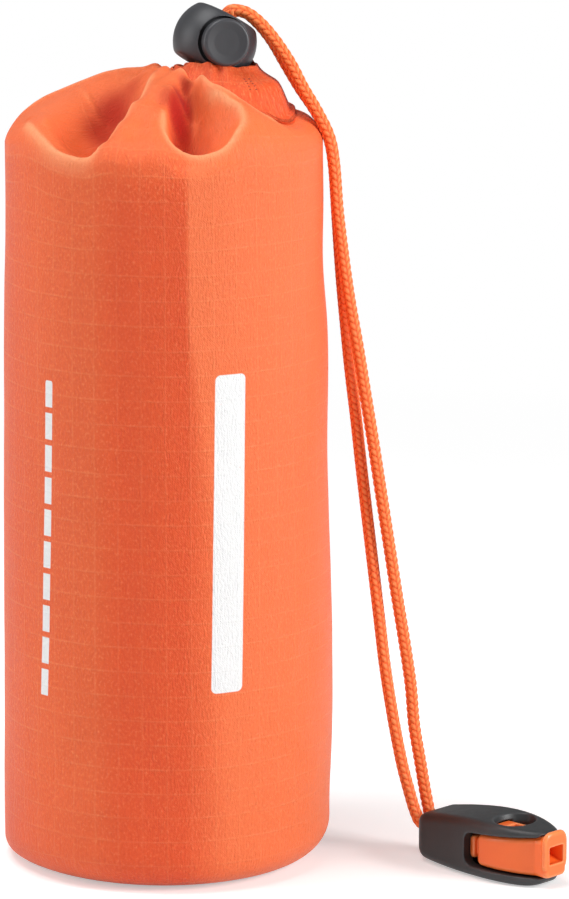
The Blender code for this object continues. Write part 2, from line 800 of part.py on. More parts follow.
def clip_plan():
    corner = arc((CLIP_CORNER, CLIP_REAR_HALF_WIDTH - CLIP_CORNER), CLIP_CORNER, 180, 90, 4)
    stations = [CLIP_LENGTH * share for share in CLIP_STATIONS]
    tip = (CLIP_LENGTH, CLIP_TIP_HALF_WIDTH * 0.7)
    side = [*corner, *((x, clip_half_width(x)) for x in stations), tip]
    return [*side, *((x, -y) for x, y in reversed(side))]


def clip_side():
    """The clip seen from its side: thin at the cord's end, and drawn in again at the tip."""
    top = catmull_rom(
        [
            Vector((0.0, CLIP_REAR_HEIGHT, 0.0)),
            Vector((CLIP_LENGTH * 0.24, CLIP_HEIGHT * 0.6 + CLIP_REAR_HEIGHT * 0.4, 0.0)),
            Vector((CLIP_LENGTH * 0.46, CLIP_HEIGHT * 0.96 + CLIP_REAR_HEIGHT * 0.04, 0.0)),
            Vector((CLIP_LENGTH * 0.66, CLIP_HEIGHT, 0.0)),
            Vector((CLIP_LENGTH, CLIP_HEIGHT - CLIP_TIP_RISE * 0.6, 0.0)),
        ],
        3,
    )
    low = [
        (CLIP_LENGTH, CLIP_TIP_RISE),
        (CLIP_LENGTH * 0.86, CLIP_TIP_RISE / 4),
        (CLIP_LENGTH * 0.7, 0.0),
        (CLIP_LENGTH * 0.36, 0.0),
        (0.0, CLIP_REAR_RISE),
    ]
    return [*((p.x, p.y) for p in top), *low]


def side_outline(name, outline, reach):
    """A closed outline in the clip's upright plane, thickened to both sides of it."""
    solid = made_mesh(flat_outline(name, outline, -reach, reach))
    solid.data.transform(Matrix.Rotation(math.radians(90), 4, "X") @ solid.matrix_world)
    solid.matrix_world = Matrix.Identity(4)
    return solid


def jaw_middle(x):
    return JAW_ROOT_HEIGHT + JAW_RISE * (x - JAW_ROOT) / (CLIP_LENGTH - JAW_ROOT)


def jaw_half_gap(x):
    share = (x - JAW_ROOT) / (CLIP_LENGTH - JAW_ROOT)
    return (JAW_ROOT_GAP + (JAW_MOUTH_GAP - JAW_ROOT_GAP) * share) / 2


def jaw_side(root, end, inset):
    """The space between the jaws seen from the side, from its rounded root, less an inset."""
    radius = jaw_half_gap(root) * 0.55
    x = root + radius
    low = jaw_middle(x) - jaw_half_gap(x) + inset
    high = jaw_middle(x) + jaw_half_gap(x) - inset
    end_half = jaw_half_gap(end) - inset
    return [
        *arc((x, high - radius), radius, 90, 180, 4),
        *arc((x, low + radius), radius, 180, 270, 4),
        (end, jaw_middle(end) - end_half),
        (end, jaw_middle(end) + end_half),
    ]


def make_whistle_housing():
    tall = 2 * CLIP_HEIGHT
    housing = made_mesh(flat_outline("whistle_housing", clip_plan(), -CLIP_HEIGHT, tall))
    as_part(housing, CLIP_PLASTIC, CLIP_FRAME)
    beyond = CLIP_LENGTH + CUT_BEYOND
    reach = 2 * CLIP_HALF_WIDTH
    side = as_cutter(side_outline("clip_side", clip_side(), reach), CLIP_FRAME)
    cut(housing, side, "INTERSECT")
    round_edges(housing, CLIP_EDGE_RADIUS)
    jaws = side_outline("jaw_gap", jaw_side(JAW_ROOT, beyond, 0.0), reach)
    window = cylinder("window", 0.5, jaw_middle(WINDOW_CENTRE), tall, 24)
    window.data.transform(Matrix.Diagonal((WINDOW_LENGTH, WINDOW_WIDTH, 1.0, 1.0)))
    window.location.x = WINDOW_CENTRE
    pocket = box(
        "knot_pocket",
        (JAW_ROOT - POCKET_LENGTH, -POCKET_HALF, CORD_HOLE_HEIGHT - POCKET_HALF),
        (JAW_ROOT + JAW_ROOT_GAP / 2, POCKET_HALF, CORD_HOLE_HEIGHT + POCKET_HALF),
    )
    for cutter in (jaws, window, pocket):
        as_cutter(cutter, CLIP_FRAME)
        cut(housing, cutter)
    hole_end = JAW_ROOT - POCKET_LENGTH + CLEARANCE
    for name, side in (("cord_hole_right", -1), ("cord_hole_left", 1)):
        hole = cylinder(name, CORD_DIAMETER / 2 + CLEARANCE, -JAW_ROOT, hole_end, 20)
        hole.data.transform(Matrix.Rotation(math.radians(90), 4, "Y"))
        hole.location = (0.0, side * CORD_HOLE_SPACING / 2, CORD_HOLE_HEIGHT)
        as_cutter(hole, CLIP_FRAME)
        cut(housing, hole)
    smooth(housing)


def insert_plan(root, end):
    stations = [root + (end - root) * share for share in INSERT_STATIONS]
    side = [(x, max(clip_half_width(x) - INSERT_INSET, INSERT_MOUTH_HALF_WIDTH)) for x in stations]
    side.append((end, INSERT_MOUTH_HALF_WIDTH))
    return [*side, *((x, -y) for x, y in reversed(side))]


def make_whistle_insert():
    root = JAW_ROOT + CLEARANCE
    end = CLIP_LENGTH + INSERT_OVERHANG
    tall = 2 * CLIP_HEIGHT
    insert = made_mesh(flat_outline("whistle_insert", insert_plan(root, end), -CLIP_HEIGHT, tall))
    as_part(insert, WHISTLE_PLASTIC, INSERT_FRAME)
    beyond = end + CUT_BEYOND
    side = side_outline("insert_side", jaw_side(root, beyond, CLEARANCE), 2 * CLIP_HALF_WIDTH)
    as_cutter(side, INSERT_FRAME)
    cut(insert, side, "INTERSECT")
    round_edges(insert, INSERT_EDGE_RADIUS)
    mid = jaw_middle(end)
    rib_end = root + RIB_LENGTH
    chamber_start = rib_end + RIB_GROOVE_WIDTH + CHAMBER_WALL
    mouth = box(
        "mouth_slot",
        (end - MOUTH_DEPTH, -MOUTH_WIDTH / 2, mid - MOUTH_HEIGHT / 2),
        (beyond, MOUTH_WIDTH / 2, mid + MOUTH_HEIGHT / 2),
    )
    chamber_half_width = WINDOW_WIDTH * 0.3
    chamber_half_height = MOUTH_HEIGHT / 2 - CHAMBER_WALL / 4
    chamber = box(
        "air_chamber",
        (chamber_start, -chamber_half_width, mid - chamber_half_height),
        (end - MOUTH_DEPTH + CLEARANCE, chamber_half_width, mid + chamber_half_height),
    )
    vent = box(
        "sound_vent",
        (WINDOW_CENTRE - VENT_LENGTH / 2, -WINDOW_WIDTH / 4, mid),
        (WINDOW_CENTRE + VENT_LENGTH / 2, WINDOW_WIDTH / 4, tall),
    )
    for cutter in (mouth, chamber, vent):
        as_cutter(cutter, INSERT_FRAME)
        cut(insert, cutter)
    floor = clip_half_width(rib_end) - INSERT_INSET - RIB_GROOVE_DEPTH
    for name, low, high in (
        ("rib_groove_right", -2 * floor, -floor),
        ("rib_groove_left", floor, 2 * floor),
    ):
        groove = box(name, (rib_end, low, -tall), (rib_end + RIB_GROOVE_WIDTH, high, tall))
        as_cutter(groove, INSERT_FRAME)
        cut(insert, groove)
    smooth(insert)


def make_cord_end_knot():
    """The cord's two ends, just inside the clip's rear, tied in one knot in its pocket."""
    mid = CORD_HOLE_HEIGHT
    centre_x = JAW_ROOT - POCKET_LENGTH / 2

    route = []
    for step in range(KNOT_POINTS):
        t = 2 * math.pi * step / KNOT_POINTS
        reach = (2 + math.cos(3 * t)) * KNOT_SIZE
        x = centre_x + KNOT_SIZE * math.sin(3 * t)
        route.append((x, reach * math.cos(2 * t), mid + reach * math.sin(2 * t)))
    knot = curve_object("cord_end_knot", route, KNOT_CORD_RADIUS, 2, cyclic=True)
    knot = as_part(made_mesh(knot), CORD, CLIP_FRAME)
    for name, side in (("cord_end_right", -1), ("cord_end_left", 1)):
        stub = cylinder(name, CORD_DIAMETER / 2, 0.0, centre_x - KNOT_SIZE / 2, 8)
        stub.data.transform(Matrix.Rotation(math.radians(90), 4, "Y"))
        stub.location = (0.0, side * CORD_HOLE_SPACING / 2, mid)
        as_cutter(stub, CLIP_FRAME)
        cut(knot, stub, "UNION")


def main():
    make_sack_body()
    make_sack_base()
    make_tent_roll()
    make_drawcord_channel()
    make_drawcord_loop()
    make_strands()
    make_lock_barrel()
    make_lock_plunger()
    make_lock_spring()
    make_whistle_housing()
    make_whistle_insert()
    make_cord_end_knot()


main()
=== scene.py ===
"""The looks of a survival tent packed in its drawstring sack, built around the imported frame.

Metres, +Z up. The origin is the centre of the sack's base, on the ground.
The sack's front faces -Y.
"""

import sys
import logging
import math
from dataclasses import dataclass, field
from enum import Enum
from functools import cache
from typing import Any, Callable, Iterable, Sequence, Union

import bmesh
import bpy
import numpy as np
from mathutils import Matrix, Vector, noise


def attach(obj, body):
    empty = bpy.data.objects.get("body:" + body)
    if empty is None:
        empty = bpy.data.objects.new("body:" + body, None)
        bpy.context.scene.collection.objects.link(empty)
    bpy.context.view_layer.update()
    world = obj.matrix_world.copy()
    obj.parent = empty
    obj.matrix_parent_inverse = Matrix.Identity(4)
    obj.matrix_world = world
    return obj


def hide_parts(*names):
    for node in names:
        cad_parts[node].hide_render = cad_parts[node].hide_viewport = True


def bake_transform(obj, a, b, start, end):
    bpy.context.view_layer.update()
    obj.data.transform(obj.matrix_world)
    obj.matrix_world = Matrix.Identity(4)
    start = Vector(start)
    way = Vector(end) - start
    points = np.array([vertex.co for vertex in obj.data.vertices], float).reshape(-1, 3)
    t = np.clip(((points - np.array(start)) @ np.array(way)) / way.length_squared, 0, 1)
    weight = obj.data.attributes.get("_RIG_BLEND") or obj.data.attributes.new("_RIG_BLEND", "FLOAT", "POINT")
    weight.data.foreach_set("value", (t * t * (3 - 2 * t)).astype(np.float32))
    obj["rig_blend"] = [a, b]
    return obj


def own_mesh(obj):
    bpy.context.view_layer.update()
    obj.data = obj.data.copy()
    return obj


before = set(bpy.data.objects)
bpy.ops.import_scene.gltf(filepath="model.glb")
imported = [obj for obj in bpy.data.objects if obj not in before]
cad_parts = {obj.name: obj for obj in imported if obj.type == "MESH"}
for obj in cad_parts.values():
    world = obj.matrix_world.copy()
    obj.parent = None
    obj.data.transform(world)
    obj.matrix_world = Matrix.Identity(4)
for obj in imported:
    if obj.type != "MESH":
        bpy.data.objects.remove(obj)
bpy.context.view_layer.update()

MM = 0.001
MERGE_DISTANCE = 1e-7
CLOTH_MAP = "cloth"
WHITE = (1.0, 1.0, 1.0)
LOG = logging.getLogger("survival_tent")

Flat = tuple[float, float]
Point = tuple[float, float, float]
Color = tuple[float, float, float]
Operand = Union["Value", float]
Mesh = bmesh.types.BMesh
Piece = bpy.types.Object


class Body(Enum):
    """The frame's bodies that a piece can ride on."""

    SACK = "sack"
    LOCK = "cord_lock"
    BUTTON = "lock_button"
    WHISTLE = "whistle"


class Slot(Enum):
    """The record's material slots."""

    RIPSTOP = "ripstop_cloth"
    FILM = "tent_film"
    CORD = "cord"
    LOCK = "lock_plastic"
    CLIP = "clip_plastic"
    WHISTLE = "whistle_plastic"
    SPRING = "spring_steel"


# ---------------------------------------------------------------- materials


def math_node(operation: str, swapped: bool = False) -> Callable[..., "Value"]:
    """A method of Value that adds a Math node.

    Args:
        operation: The node's operation.
        swapped: Whether the value itself is the last operand.

    Returns:
        The method, which takes the other operands.
    """

    def method(self: "Value", *others: Operand) -> "Value":
        """Adds the node and gives its result."""
        operands = (*others, self) if swapped else (self, *others)
        return self.graph.add("ShaderNodeMath", {"operation": operation}, dict(enumerate(operands)))

    return method


class Value:
    """A socket in a node tree, on which sums are written as Python expressions."""

    __add__, __radd__ = math_node("ADD"), math_node("ADD", True)
    __sub__, __rsub__ = math_node("SUBTRACT"), math_node("SUBTRACT", True)
    __mul__, __truediv__ = math_node("MULTIPLY"), math_node("DIVIDE")
    __pow__, __abs__ = math_node("POWER"), math_node("ABSOLUTE")
    fraction, sine, most = math_node("FRACT"), math_node("SINE"), math_node("MAXIMUM")

    def __init__(self, graph: "Graph", socket: bpy.types.NodeSocket) -> None:
        """Keeps the graph and the output socket."""
        self.graph, self.socket = graph, socket

    def clamped(self) -> "Value":
        """The value held between 0 and 1."""
        return self.graph.add("ShaderNodeMath", {"use_clamp": True}, {0: self, 1: 0.0})

    def ramp(self, low: float, high: float) -> "Value":
        """0 at low, 1 at high, a straight line between them and flat beyond."""
        return ((self - low) / (high - low)).clamped()


class Graph:
    """The node tree of a material or a world, with one method that adds any node."""

    def __init__(self, owner: bpy.types.Material | bpy.types.World) -> None:
        """Switches the owner's nodes on and keeps them."""
        owner.use_nodes = True
        self.owner, self.tree = owner, owner.node_tree

    def feed(self, socket: bpy.types.NodeSocket, value: Any) -> None:
        """Gives a socket a value or a link.

        Args:
            socket: The input.
            value: A Value to link, or a number or tuple to set.
        """
        if isinstance(value, Value):
            self.tree.links.new(value.socket, socket)
        elif isinstance(value, tuple) and len(socket.default_value) > len(value):
            socket.default_value = (*value, 1.0)
        else:
            socket.default_value = value

    def add(
        self,
        kind: str,
        settings: dict[str, Any] | None = None,
        values: dict[Any, Any] | None = None,
        output: int = 0,
    ) -> Value:
        """Adds a node.

        Args:
            kind: The node's type.
            settings: Its properties.
            values: Its inputs, by name or place, as values or links.
            output: The place of the output that is returned.

        Returns:
            That output.
        """
        node = self.tree.nodes.new(kind)
        for key, value in (settings or {}).items():
            setattr(node, key, value)
        for key, value in (values or {}).items():
            self.feed(node.inputs[key], value)
        return Value(self, node.outputs[output])

    def beside(self, value: Value, outputs: Iterable[int | str]) -> list[Value]:
        """Outputs of the node that a value comes from."""
        return [Value(self, value.socket.node.outputs[key]) for key in outputs]

    def split(self, vector: Value) -> list[Value]:
        """The three numbers of a vector."""
        return self.beside(self.add("ShaderNodeSeparateXYZ", values={0: vector}), range(3))

    def rays(self) -> list[Value]:
        """Whether a ray comes from the camera, from a mirror or through something clear."""
        names = ("Is Camera Ray", "Is Glossy Ray", "Is Transmission Ray")
        return self.beside(self.add("ShaderNodeLightPath"), names)

    def place(self) -> Value:
        """The surface's point in metres, in the object's own frame."""
        return self.add("ShaderNodeTexCoord", output=3)

    def attribute(self, name: str) -> Value:
        """A number that the piece's points keep."""
        return self.add("ShaderNodeAttribute", {"attribute_name": name}, output=2)

    def noise(self, place: Value, size: float, detail: float = 2.0, rough: float = 0.5) -> Value:
        """Noise from 0 to 1 in blots of a size, with finer layers of a strength."""
        values = {"Vector": place, "Scale": 1.0 / size, "Detail": detail, "Roughness": rough}
        return self.add("ShaderNodeTexNoise", values=values)

    def flecks(self, x: Value, y: Value, *settings: float) -> Value:
        """Noise over two numbers, such as the cloth's map."""
        return self.noise(self.add("ShaderNodeCombineXYZ", values={0: x, 1: y}), *settings)

    def streaks(self, scale: float, *settings: float) -> Value:
        """Noise over the surface's point, whose height is scaled."""
        values = {"Vector": self.place(), "Scale": (1.0, 1.0, scale)}
        return self.noise(self.add("ShaderNodeMapping", values=values), *settings)

    def mixed(self, share: Operand, first: Any, second: Any) -> Value:
        """A colour between two: 0 gives the first and 1 the second."""
        return self.add("ShaderNodeMix", {"data_type": "RGBA"}, {0: share, 6: first, 7: second}, 2)

    def bump(self, height: Value, distance: float, strength: float = 0.8) -> None:
        """Gives the surface a relief of that height from 0 to 1, in metres."""
        values = {"Height": height, "Distance": distance, "Strength": strength}
        self.surface(normal=self.add("ShaderNodeBump", values=values))

    def surface(self, **inputs: Any) -> None:
        """Sets the Principled shader's sockets.

        Args:
            inputs: Their values or links, by name with underscores.
        """
        for key, value in inputs.items():
            name = key.replace("_", " ").title().replace("Ior", "IOR")
            self.feed(self.tree.nodes["Principled BSDF"].inputs[name], value)

    def show(self, shader: Value) -> None:
        """Makes a shader the tree's result."""
        output = next(node for node in self.tree.nodes if "Surface" in node.inputs)
        self.feed(output.inputs["Surface"], shader)


def darker(color: Color, share: float) -> Color:
    """A colour times a share."""
    return tuple(part * share for part in color)


@dataclass(frozen=True)
class Finish:
    """What every finish has: a name, a base colour and a roughness."""

    name: str
    color: Color
    roughness: float

    def material(self) -> bpy.types.Material:
        """The finish as a new material.

        Returns:
            The material.
        """
        graph = Graph(bpy.data.materials.new(self.name))
        graph.surface(base_color=self.color, roughness=self.roughness)
        self.dress(graph)
        return graph.owner

    def dress(self, graph: Graph) -> None:
        """Adds what varies over the surface."""
        raise NotImplementedError


@dataclass(frozen=True)
class Mark:
    """A plain printed bar with round corners, in metres on the cloth's map."""

    across: float
    up: float
    slant: float
    half: Flat
    corner: float
    blur: float = 0.00008

    def mask(self, u: Value, v: Value) -> Value:
        """Where the ink lies.

        Args:
            u: The cloth's map round the sack.
            v: The cloth's map up it.

        Returns:
            1 on the ink and 0 off it.
        """
        up = v - self.up
        out_x = (abs(u - self.across - up * self.slant) - (self.half[0] - self.corner)).most(0.0)
        out_y = (abs(up) - (self.half[1] - self.corner)).most(0.0)
        away = (out_x * out_x + out_y * out_y) ** 0.5
        return away.ramp(self.corner + self.blur, self.corner - self.blur)


@dataclass(frozen=True)
class Ripstop(Finish):
    """Coated ripstop cloth: a fine plain weave, with a heavier thread every few millimetres."""

    # The dark end of the random tone, and also the painted shade on the front and near the base.
    shade: Color = (0.70, 0.062, 0.010)
    # Painted light on the sides.
    lit: Color = (0.91, 0.215, 0.068)
    # Painted light on the top.
    crown: Color = (1.0, 0.195, 0.054)
    # A painted highlight on the creases' lips.
    lip: Color = (1.0, 0.45, 0.21)
    # Painted shade in the folds' hollows.
    deep: Color = (0.43, 0.005, 0.003)
    # Painted glints on the weave's specks, and the heavier threads' lighter tone.
    glint_and_wear: Color = (0.97, 0.36, 0.14)
    ink: Color = (0.86, 0.86, 0.86)
    thread_pitch: float = 0.00052
    grid_pitch: float = 0.0053
    grid_width: float = 0.00030
    relief: float = 0.00015
    printed: bool = False
    bar: Mark = Mark(0.0138, 0.0824, 0.020, (0.0036, 0.0342), 0.0012)
    dashes: Mark = Mark(-0.0288, 0.0796, 0.024, (0.0011, 0.0347), 0.0009)
    dash_start: float = 0.0449
    dash_pitch: float = 0.00698

    def heavy_threads(self, graph: Graph, across: Value, along: Value) -> Value:
        """How strongly a heavier thread shows, with gaps where the coating hides it.

        Args:
            graph: The material's graph.
            across: The cloth's map square to the threads.
            along: The cloth's map along them.

        Returns:
            A share from 0 to 1.
        """
        from_thread = 0.5 - abs((across / self.grid_pitch).fraction() - 0.5)
        thread = (from_thread * self.grid_pitch).ramp(self.grid_width, 0.0)
        broken = graph.flecks(across * 0.6, along, 0.006, 2.0).ramp(0.36, 0.62)
        return thread * (0.35 + broken * 0.65)

    def painted_light_zones(self, u: Value, v: Value) -> list[tuple[Value, Color]]:
        """The sack's painted light and shade: a shaded band, shade near the base, lit sides, a lit top.

        Args:
            u: The cloth's map round the sack.
            v: The cloth's map up it.

        Returns:
            Each zone's share and colour, in the order they lie.
        """
        # Masks for the painted shade down the front and the painted light on both sides.
        edge = 0.0050 + v.ramp(0.128, 0.082) * 0.0037
        soft = 0.0016 + v.ramp(0.125, 0.065) * 0.0085
        left = ((edge - u) / soft + 0.5).clamped()
        band = u.ramp(-0.0175, -0.0095) * v.ramp(0.160, 0.150) * 0.42
        right = (1.0 - left) * u.ramp(0.062, 0.044) * 0.52
        beside = u.ramp(-0.0105, -0.0170) * u.ramp(-0.044, -0.032) * 0.20
        return [
            # Painted shade: a soft stripe down the front, and near the base on the left.
            (left * band.most(v.ramp(0.030, 0.012) * 0.30), self.shade),
            # Painted light to the right of the ridge, and on the left side.
            (right.most(beside), self.lit),
            # Painted light on the top, where the light falls.
            (v.ramp(0.157, 0.168) * 0.75, self.crown),
        ]

    def print_mask(self, graph: Graph, u: Value, v: Value) -> Value:
        """1 on the two plain white marks: a broad bar, and a thin line of dashes."""
        gaps = abs(((v - self.dash_start) / self.dash_pitch).fraction() - 0.5).ramp(0.42, 0.40)
        return self.bar.mask(u, v).most(self.dashes.mask(u, v) * gaps)

    def dress(self, graph: Graph) -> None:
        """Weave, heavier threads, crinkles, painted glints and, where wanted, the print and the
        sack's painted light and shade, also in its folds' hollows and on their lips.

        Args:
            graph: The material's graph.
        """
        u, v, _ = graph.split(graph.add("ShaderNodeUVMap", {"uv_map": CLOTH_MAP}))
        turn = 2 * math.pi / self.thread_pitch
        weave = (u * turn).sine() * (v * turn).sine()
        slubs = graph.flecks(u * 2.6, v * 0.55, 0.0011, 3.0, 0.65)
        specks = graph.flecks(u * 1.4, v, 0.00075, 2.0, 0.6)
        crinkle = graph.flecks(u * 1.5, v * 0.8, 0.0085, 4.0, 0.55)
        cloud = graph.flecks(u, v * 0.5, 0.03, 3.0)
        grid = (self.heavy_threads(graph, u, v) * 0.8).most(self.heavy_threads(graph, v, u))
        height = weave * 0.15 + slubs * 2.2 + specks * 1.7 + grid * 0.6 + crinkle * 2.6
        graph.bump(height, self.relief, 0.9)
        tone = (cloud * 0.55 + slubs * 0.9 + specks * 0.3 + crinkle * 0.1).ramp(0.50, 1.28)
        rough = self.roughness + (specks - 0.5) * 0.22 + (cloud - 0.5) * 0.10
        layers = [
            # The weave's light specks are painted glints; its dark specks and heavier threads are its own
            # tone.
            (specks.ramp(0.54, 0.72) * 0.42, self.glint_and_wear),
            (specks.ramp(0.46, 0.28) * 0.50, self.shade),
            (grid * 0.27, self.glint_and_wear),
        ]
        if self.printed:
            # Painted shade in the folds' hollows and a painted highlight on the creases' lips, kept on the
            # points.
            fold = graph.attribute("fold")
            hollow = fold.ramp(0.5, 0.0)
            ink = self.print_mask(graph, u, v)
            worn = 1.0 - graph.flecks(u, v, 0.0009, 3.0).ramp(0.70, 0.82) * 0.5
            layers += self.painted_light_zones(u, v)
            layers += [(hollow * 0.95, self.deep), (fold.ramp(0.5, 1.0) * 0.66, self.lip)]
            layers += [(ink * worn, self.ink)]
            rough = rough + hollow * 0.45 + ink * 0.08
        color = graph.mixed(tone, self.shade, self.color)
        for share, tint in layers:
            color = graph.mixed(share, color, tint)
        graph.surface(base_color=color, roughness=rough.clamped(), specular_ior_level=0.36)
        graph.surface(sheen_weight=0.06, sheen_roughness=0.45, sheen_tint=(1.0, 0.72, 0.6))


@dataclass(frozen=True)
class Braid(Finish):
    """Braided cord: glossy filaments on each plait, painted shade between, painted highlight atop."""

    # Painted shade between the plaits.
    groove: Color = (0.58, 0.055, 0.010)
    # A painted highlight on the plaits' crests.
    shine: Color = (1.0, 0.36, 0.12)

    def dress(self, graph: Graph) -> None:
        """Painted shade and highlight by how far a plait stands out, and fine filaments along it.

        Args:
            graph: The material's graph.
        """
        relief = graph.attribute("relief")
        filaments = graph.streaks(0.45, 0.00022, 3.0, 0.7)
        patches = graph.noise(graph.place(), 0.004)
        # Painted shade in the grooves between plaits.
        color = graph.mixed(relief.ramp(0.0, 0.45), self.groove, self.color)
        # A painted highlight on the plaits' crests.
        crown = relief.ramp(0.50, 1.0) * (0.40 + filaments * 0.45)
        rough = self.roughness + (filaments - 0.5) * 0.3 + (patches - 0.5) * 0.1
        graph.surface(base_color=graph.mixed(crown, color, self.shine), roughness=rough)
        graph.surface(sheen_weight=0.1, sheen_tint=(1.0, 0.7, 0.5), specular_ior_level=0.34)
        graph.bump(filaments, 0.00006)


@dataclass(frozen=True)
class Moulding(Finish):
    """Injection-moulded plastic: a fine spark texture, faint flow marks and worn edges."""

    # Edges lightened by wear.
    glint_and_wear: Color = (0.10, 0.10, 0.11)
    variation: float = 0.12
    rub: float = 0.35
    grain: float = 0.00016
    relief: float = 0.000012

    def dress(self, graph: Graph) -> None:
        """Grain, flow marks, and edges that handling has made lighter.

        Args:
            graph: The material's graph.
        """
        place = graph.place()
        grain = graph.noise(place, self.grain, 2.0, 0.6)
        flow = graph.noise(place, 0.006, 3.0, 0.55)
        smudge = graph.noise(place, 0.0022, 4.0, 0.6)
        wear = (graph.attribute("edge") * (0.55 + smudge * 0.9)).clamped() * self.rub
        color = graph.mixed(flow, darker(self.color, 1.0 - self.variation), self.color)
        rough = self.roughness + (smudge - 0.5) * 0.16 + (grain - 0.5) * 0.10 - wear * 0.12
        graph.surface(base_color=graph.mixed(wear, color, self.glint_and_wear), roughness=rough.clamped())
        graph.bump(grain + flow * 1.5, self.relief)


@dataclass(frozen=True)
class Metal(Finish):
    """Metallised film or drawn wire: creases or lines, and a mottled shine."""

    stain: Color
    metallic: float
    stretch: float
    lines: Sequence[float]
    mottling: float
    crinkle: float = 0.0

    def dress(self, graph: Graph) -> None:
        """The creases or lines.

        Args:
            graph: The material's graph.
        """
        lines = graph.streaks(self.stretch, *self.lines)
        rough = self.roughness + (lines - 0.5) * self.mottling
        graph.surface(base_color=graph.mixed(lines, self.stain, self.color), roughness=rough)
        graph.surface(metallic=self.metallic)
        if self.crinkle:
            graph.bump(lines, self.crinkle)


@dataclass(frozen=True)
class Thread(Finish):
    """Polyester sewing thread, twisted."""

    def dress(self, graph: Graph) -> None:
        """The twist's fine light and dark.

        Args:
            graph: The material's graph.
        """
        twist = graph.noise(graph.place(), 0.00015, 2.0, 0.6)
        graph.surface(base_color=graph.mixed(twist, darker(self.color, 0.7), self.color))
        graph.bump(twist, 0.00004)


ORANGE_CLOTH = Ripstop("ripstop_body", (0.90, 0.126, 0.022), 0.46, printed=True)
PLAIN_CLOTH = Ripstop("ripstop_hem", (0.90, 0.132, 0.028), 0.48)
ORANGE_BRAID = Braid("braided_cord", (1.0, 0.158, 0.028), 0.5)
LOCK_GREY = Moulding("lock_moulding", (0.030, 0.031, 0.036), 0.46)
CLIP_BLACK = Moulding("clip_moulding", (0.019, 0.022, 0.024), 0.46, (0.075, 0.080, 0.085))
WHISTLE_ORANGE = Moulding(
    "whistle_moulding", (1.0, 0.170, 0.026), 0.33, (1.0, 0.42, 0.16), variation=0.08, rub=0.5
)
FILM_SILVER = Metal(
    "metallised_film", (0.80, 0.81, 0.84), 0.28, (0.62, 0.63, 0.66), 0.9, 0.4, (0.004, 4.0, 0.6),
    0.3, crinkle=0.0004,
)
SPRING_WIRE = Metal(
    "spring_wire", (0.62, 0.62, 0.64), 0.28, (0.48, 0.48, 0.50), 1.0, 6.0, (0.0008, 3.0), 0.2
)
ORANGE_THREAD = Thread("sewing_thread", (0.70, 0.085, 0.022), 0.6)
DARK_THREAD = Thread("tack_thread", (0.42, 0.045, 0.018), 0.65)


@cache
def material_of(finish: Finish) -> bpy.types.Material:
    """The material of a finish, made once."""
    return finish.material()


# ---------------------------------------------------------------- lines, angles and noise


def catmull_rom(points: Sequence[Point], steps: int = 24, cyclic: bool = False) -> np.ndarray:
    """A smooth curve through points.

    Args:
        points: What it runs through.
        steps: How many points it gets for each stretch.
        cyclic: Whether it closes on itself.

    Returns:
        The curve's points, one in each row.
    """
    given = np.array(points, float)
    if cyclic:
        padded = np.vstack([given[-1], given, given[0], given[1]])
    else:
        padded = np.vstack([2 * given[0] - given[1], given, 2 * given[-1] - given[-2]])
    t = np.linspace(0.0, 1.0, steps, endpoint=False)[:, None]
    made = []
    for a, b, c, d in zip(padded, padded[1:], padded[2:], padded[3:]):
        bend = 2 * a - 5 * b + 4 * c - d
        made.append(0.5 * (2 * b + (c - a) * t + bend * t**2 + (3 * b - a - 3 * c + d) * t**3))
    return np.vstack(made if cyclic else [*made, given[-1][None, :]])


def evenly(path: np.ndarray, step: float) -> np.ndarray:
    """The same path with points at even distances.

    Args:
        path: The points of the path.
        step: The distance wanted between points, in metres.

    Returns:
        The new points, with both ends kept.
    """
    runs = np.linalg.norm(np.diff(path, axis=0), axis=1)
    travelled = np.concatenate([[0.0], np.cumsum(runs)])
    count = max(2, round(travelled[-1] / step) + 1)
    wanted = np.linspace(0.0, travelled[-1], count)
    return np.stack([np.interp(wanted, travelled, path[:, axis]) for axis in range(3)], axis=1)


def path_length(path: np.ndarray) -> float:
    """The length of a path in metres."""
    return float(np.linalg.norm(np.diff(path, axis=0), axis=1).sum())


def carried_frames(path: np.ndarray, cyclic: bool = False) -> tuple[np.ndarray, np.ndarray]:
    """Two directions square to a path at each point, carried along it without twist.

    Args:
        path: The points of the path.
        cyclic: Whether its end meets its start, over which the leftover twist is spread.

    Returns:
        The two directions, one in each row.
    """
    ahead = np.gradient(path, axis=0)
    if cyclic:
        ahead = np.roll(path, -1, axis=0) - np.roll(path, 1, axis=0)
    ahead /= np.linalg.norm(ahead, axis=1)[:, None]
    side = np.zeros_like(path)
    start = np.cross(ahead[0], (0.0, 1.0, 0.0))
    if np.linalg.norm(start) < 0.1:
        start = np.cross(ahead[0], (1.0, 0.0, 0.0))
    side[0] = start / np.linalg.norm(start)
    for index in range(1, len(path)):
        carried = side[index - 1] - ahead[index] * side[index - 1].dot(ahead[index])
        side[index] = carried / np.linalg.norm(carried)
    other = np.cross(ahead, side)
    if cyclic:
        end = side[-1] - ahead[0] * side[-1].dot(ahead[0])
        twist = math.atan2(end.dot(other[0]), end.dot(side[0]))
        angles = -twist * np.arange(len(path)) / len(path)
        turned_side = side * np.cos(angles)[:, None] + other * np.sin(angles)[:, None]
        side, other = turned_side, np.cross(ahead, turned_side)
    return side, other


def arc(centre: Flat, radius: float, start: float, end: float, steps: int) -> list[Flat]:
    """Points of an arc from one angle to another, in degrees."""
    angles = [math.radians(start + (end - start) * step / steps) for step in range(steps + 1)]
    return [(centre[0] + radius * math.cos(a), centre[1] + radius * math.sin(a)) for a in angles]


def rounding(radius: float, step: int) -> list[Flat]:
    """A rounded end as (distance from it, inset) points, a number of degrees apart."""
    turns = [math.radians(angle) for angle in range(0, 91, step)]
    return [(radius * (1 - math.cos(a)), radius * (1 - math.sin(a))) for a in turns]


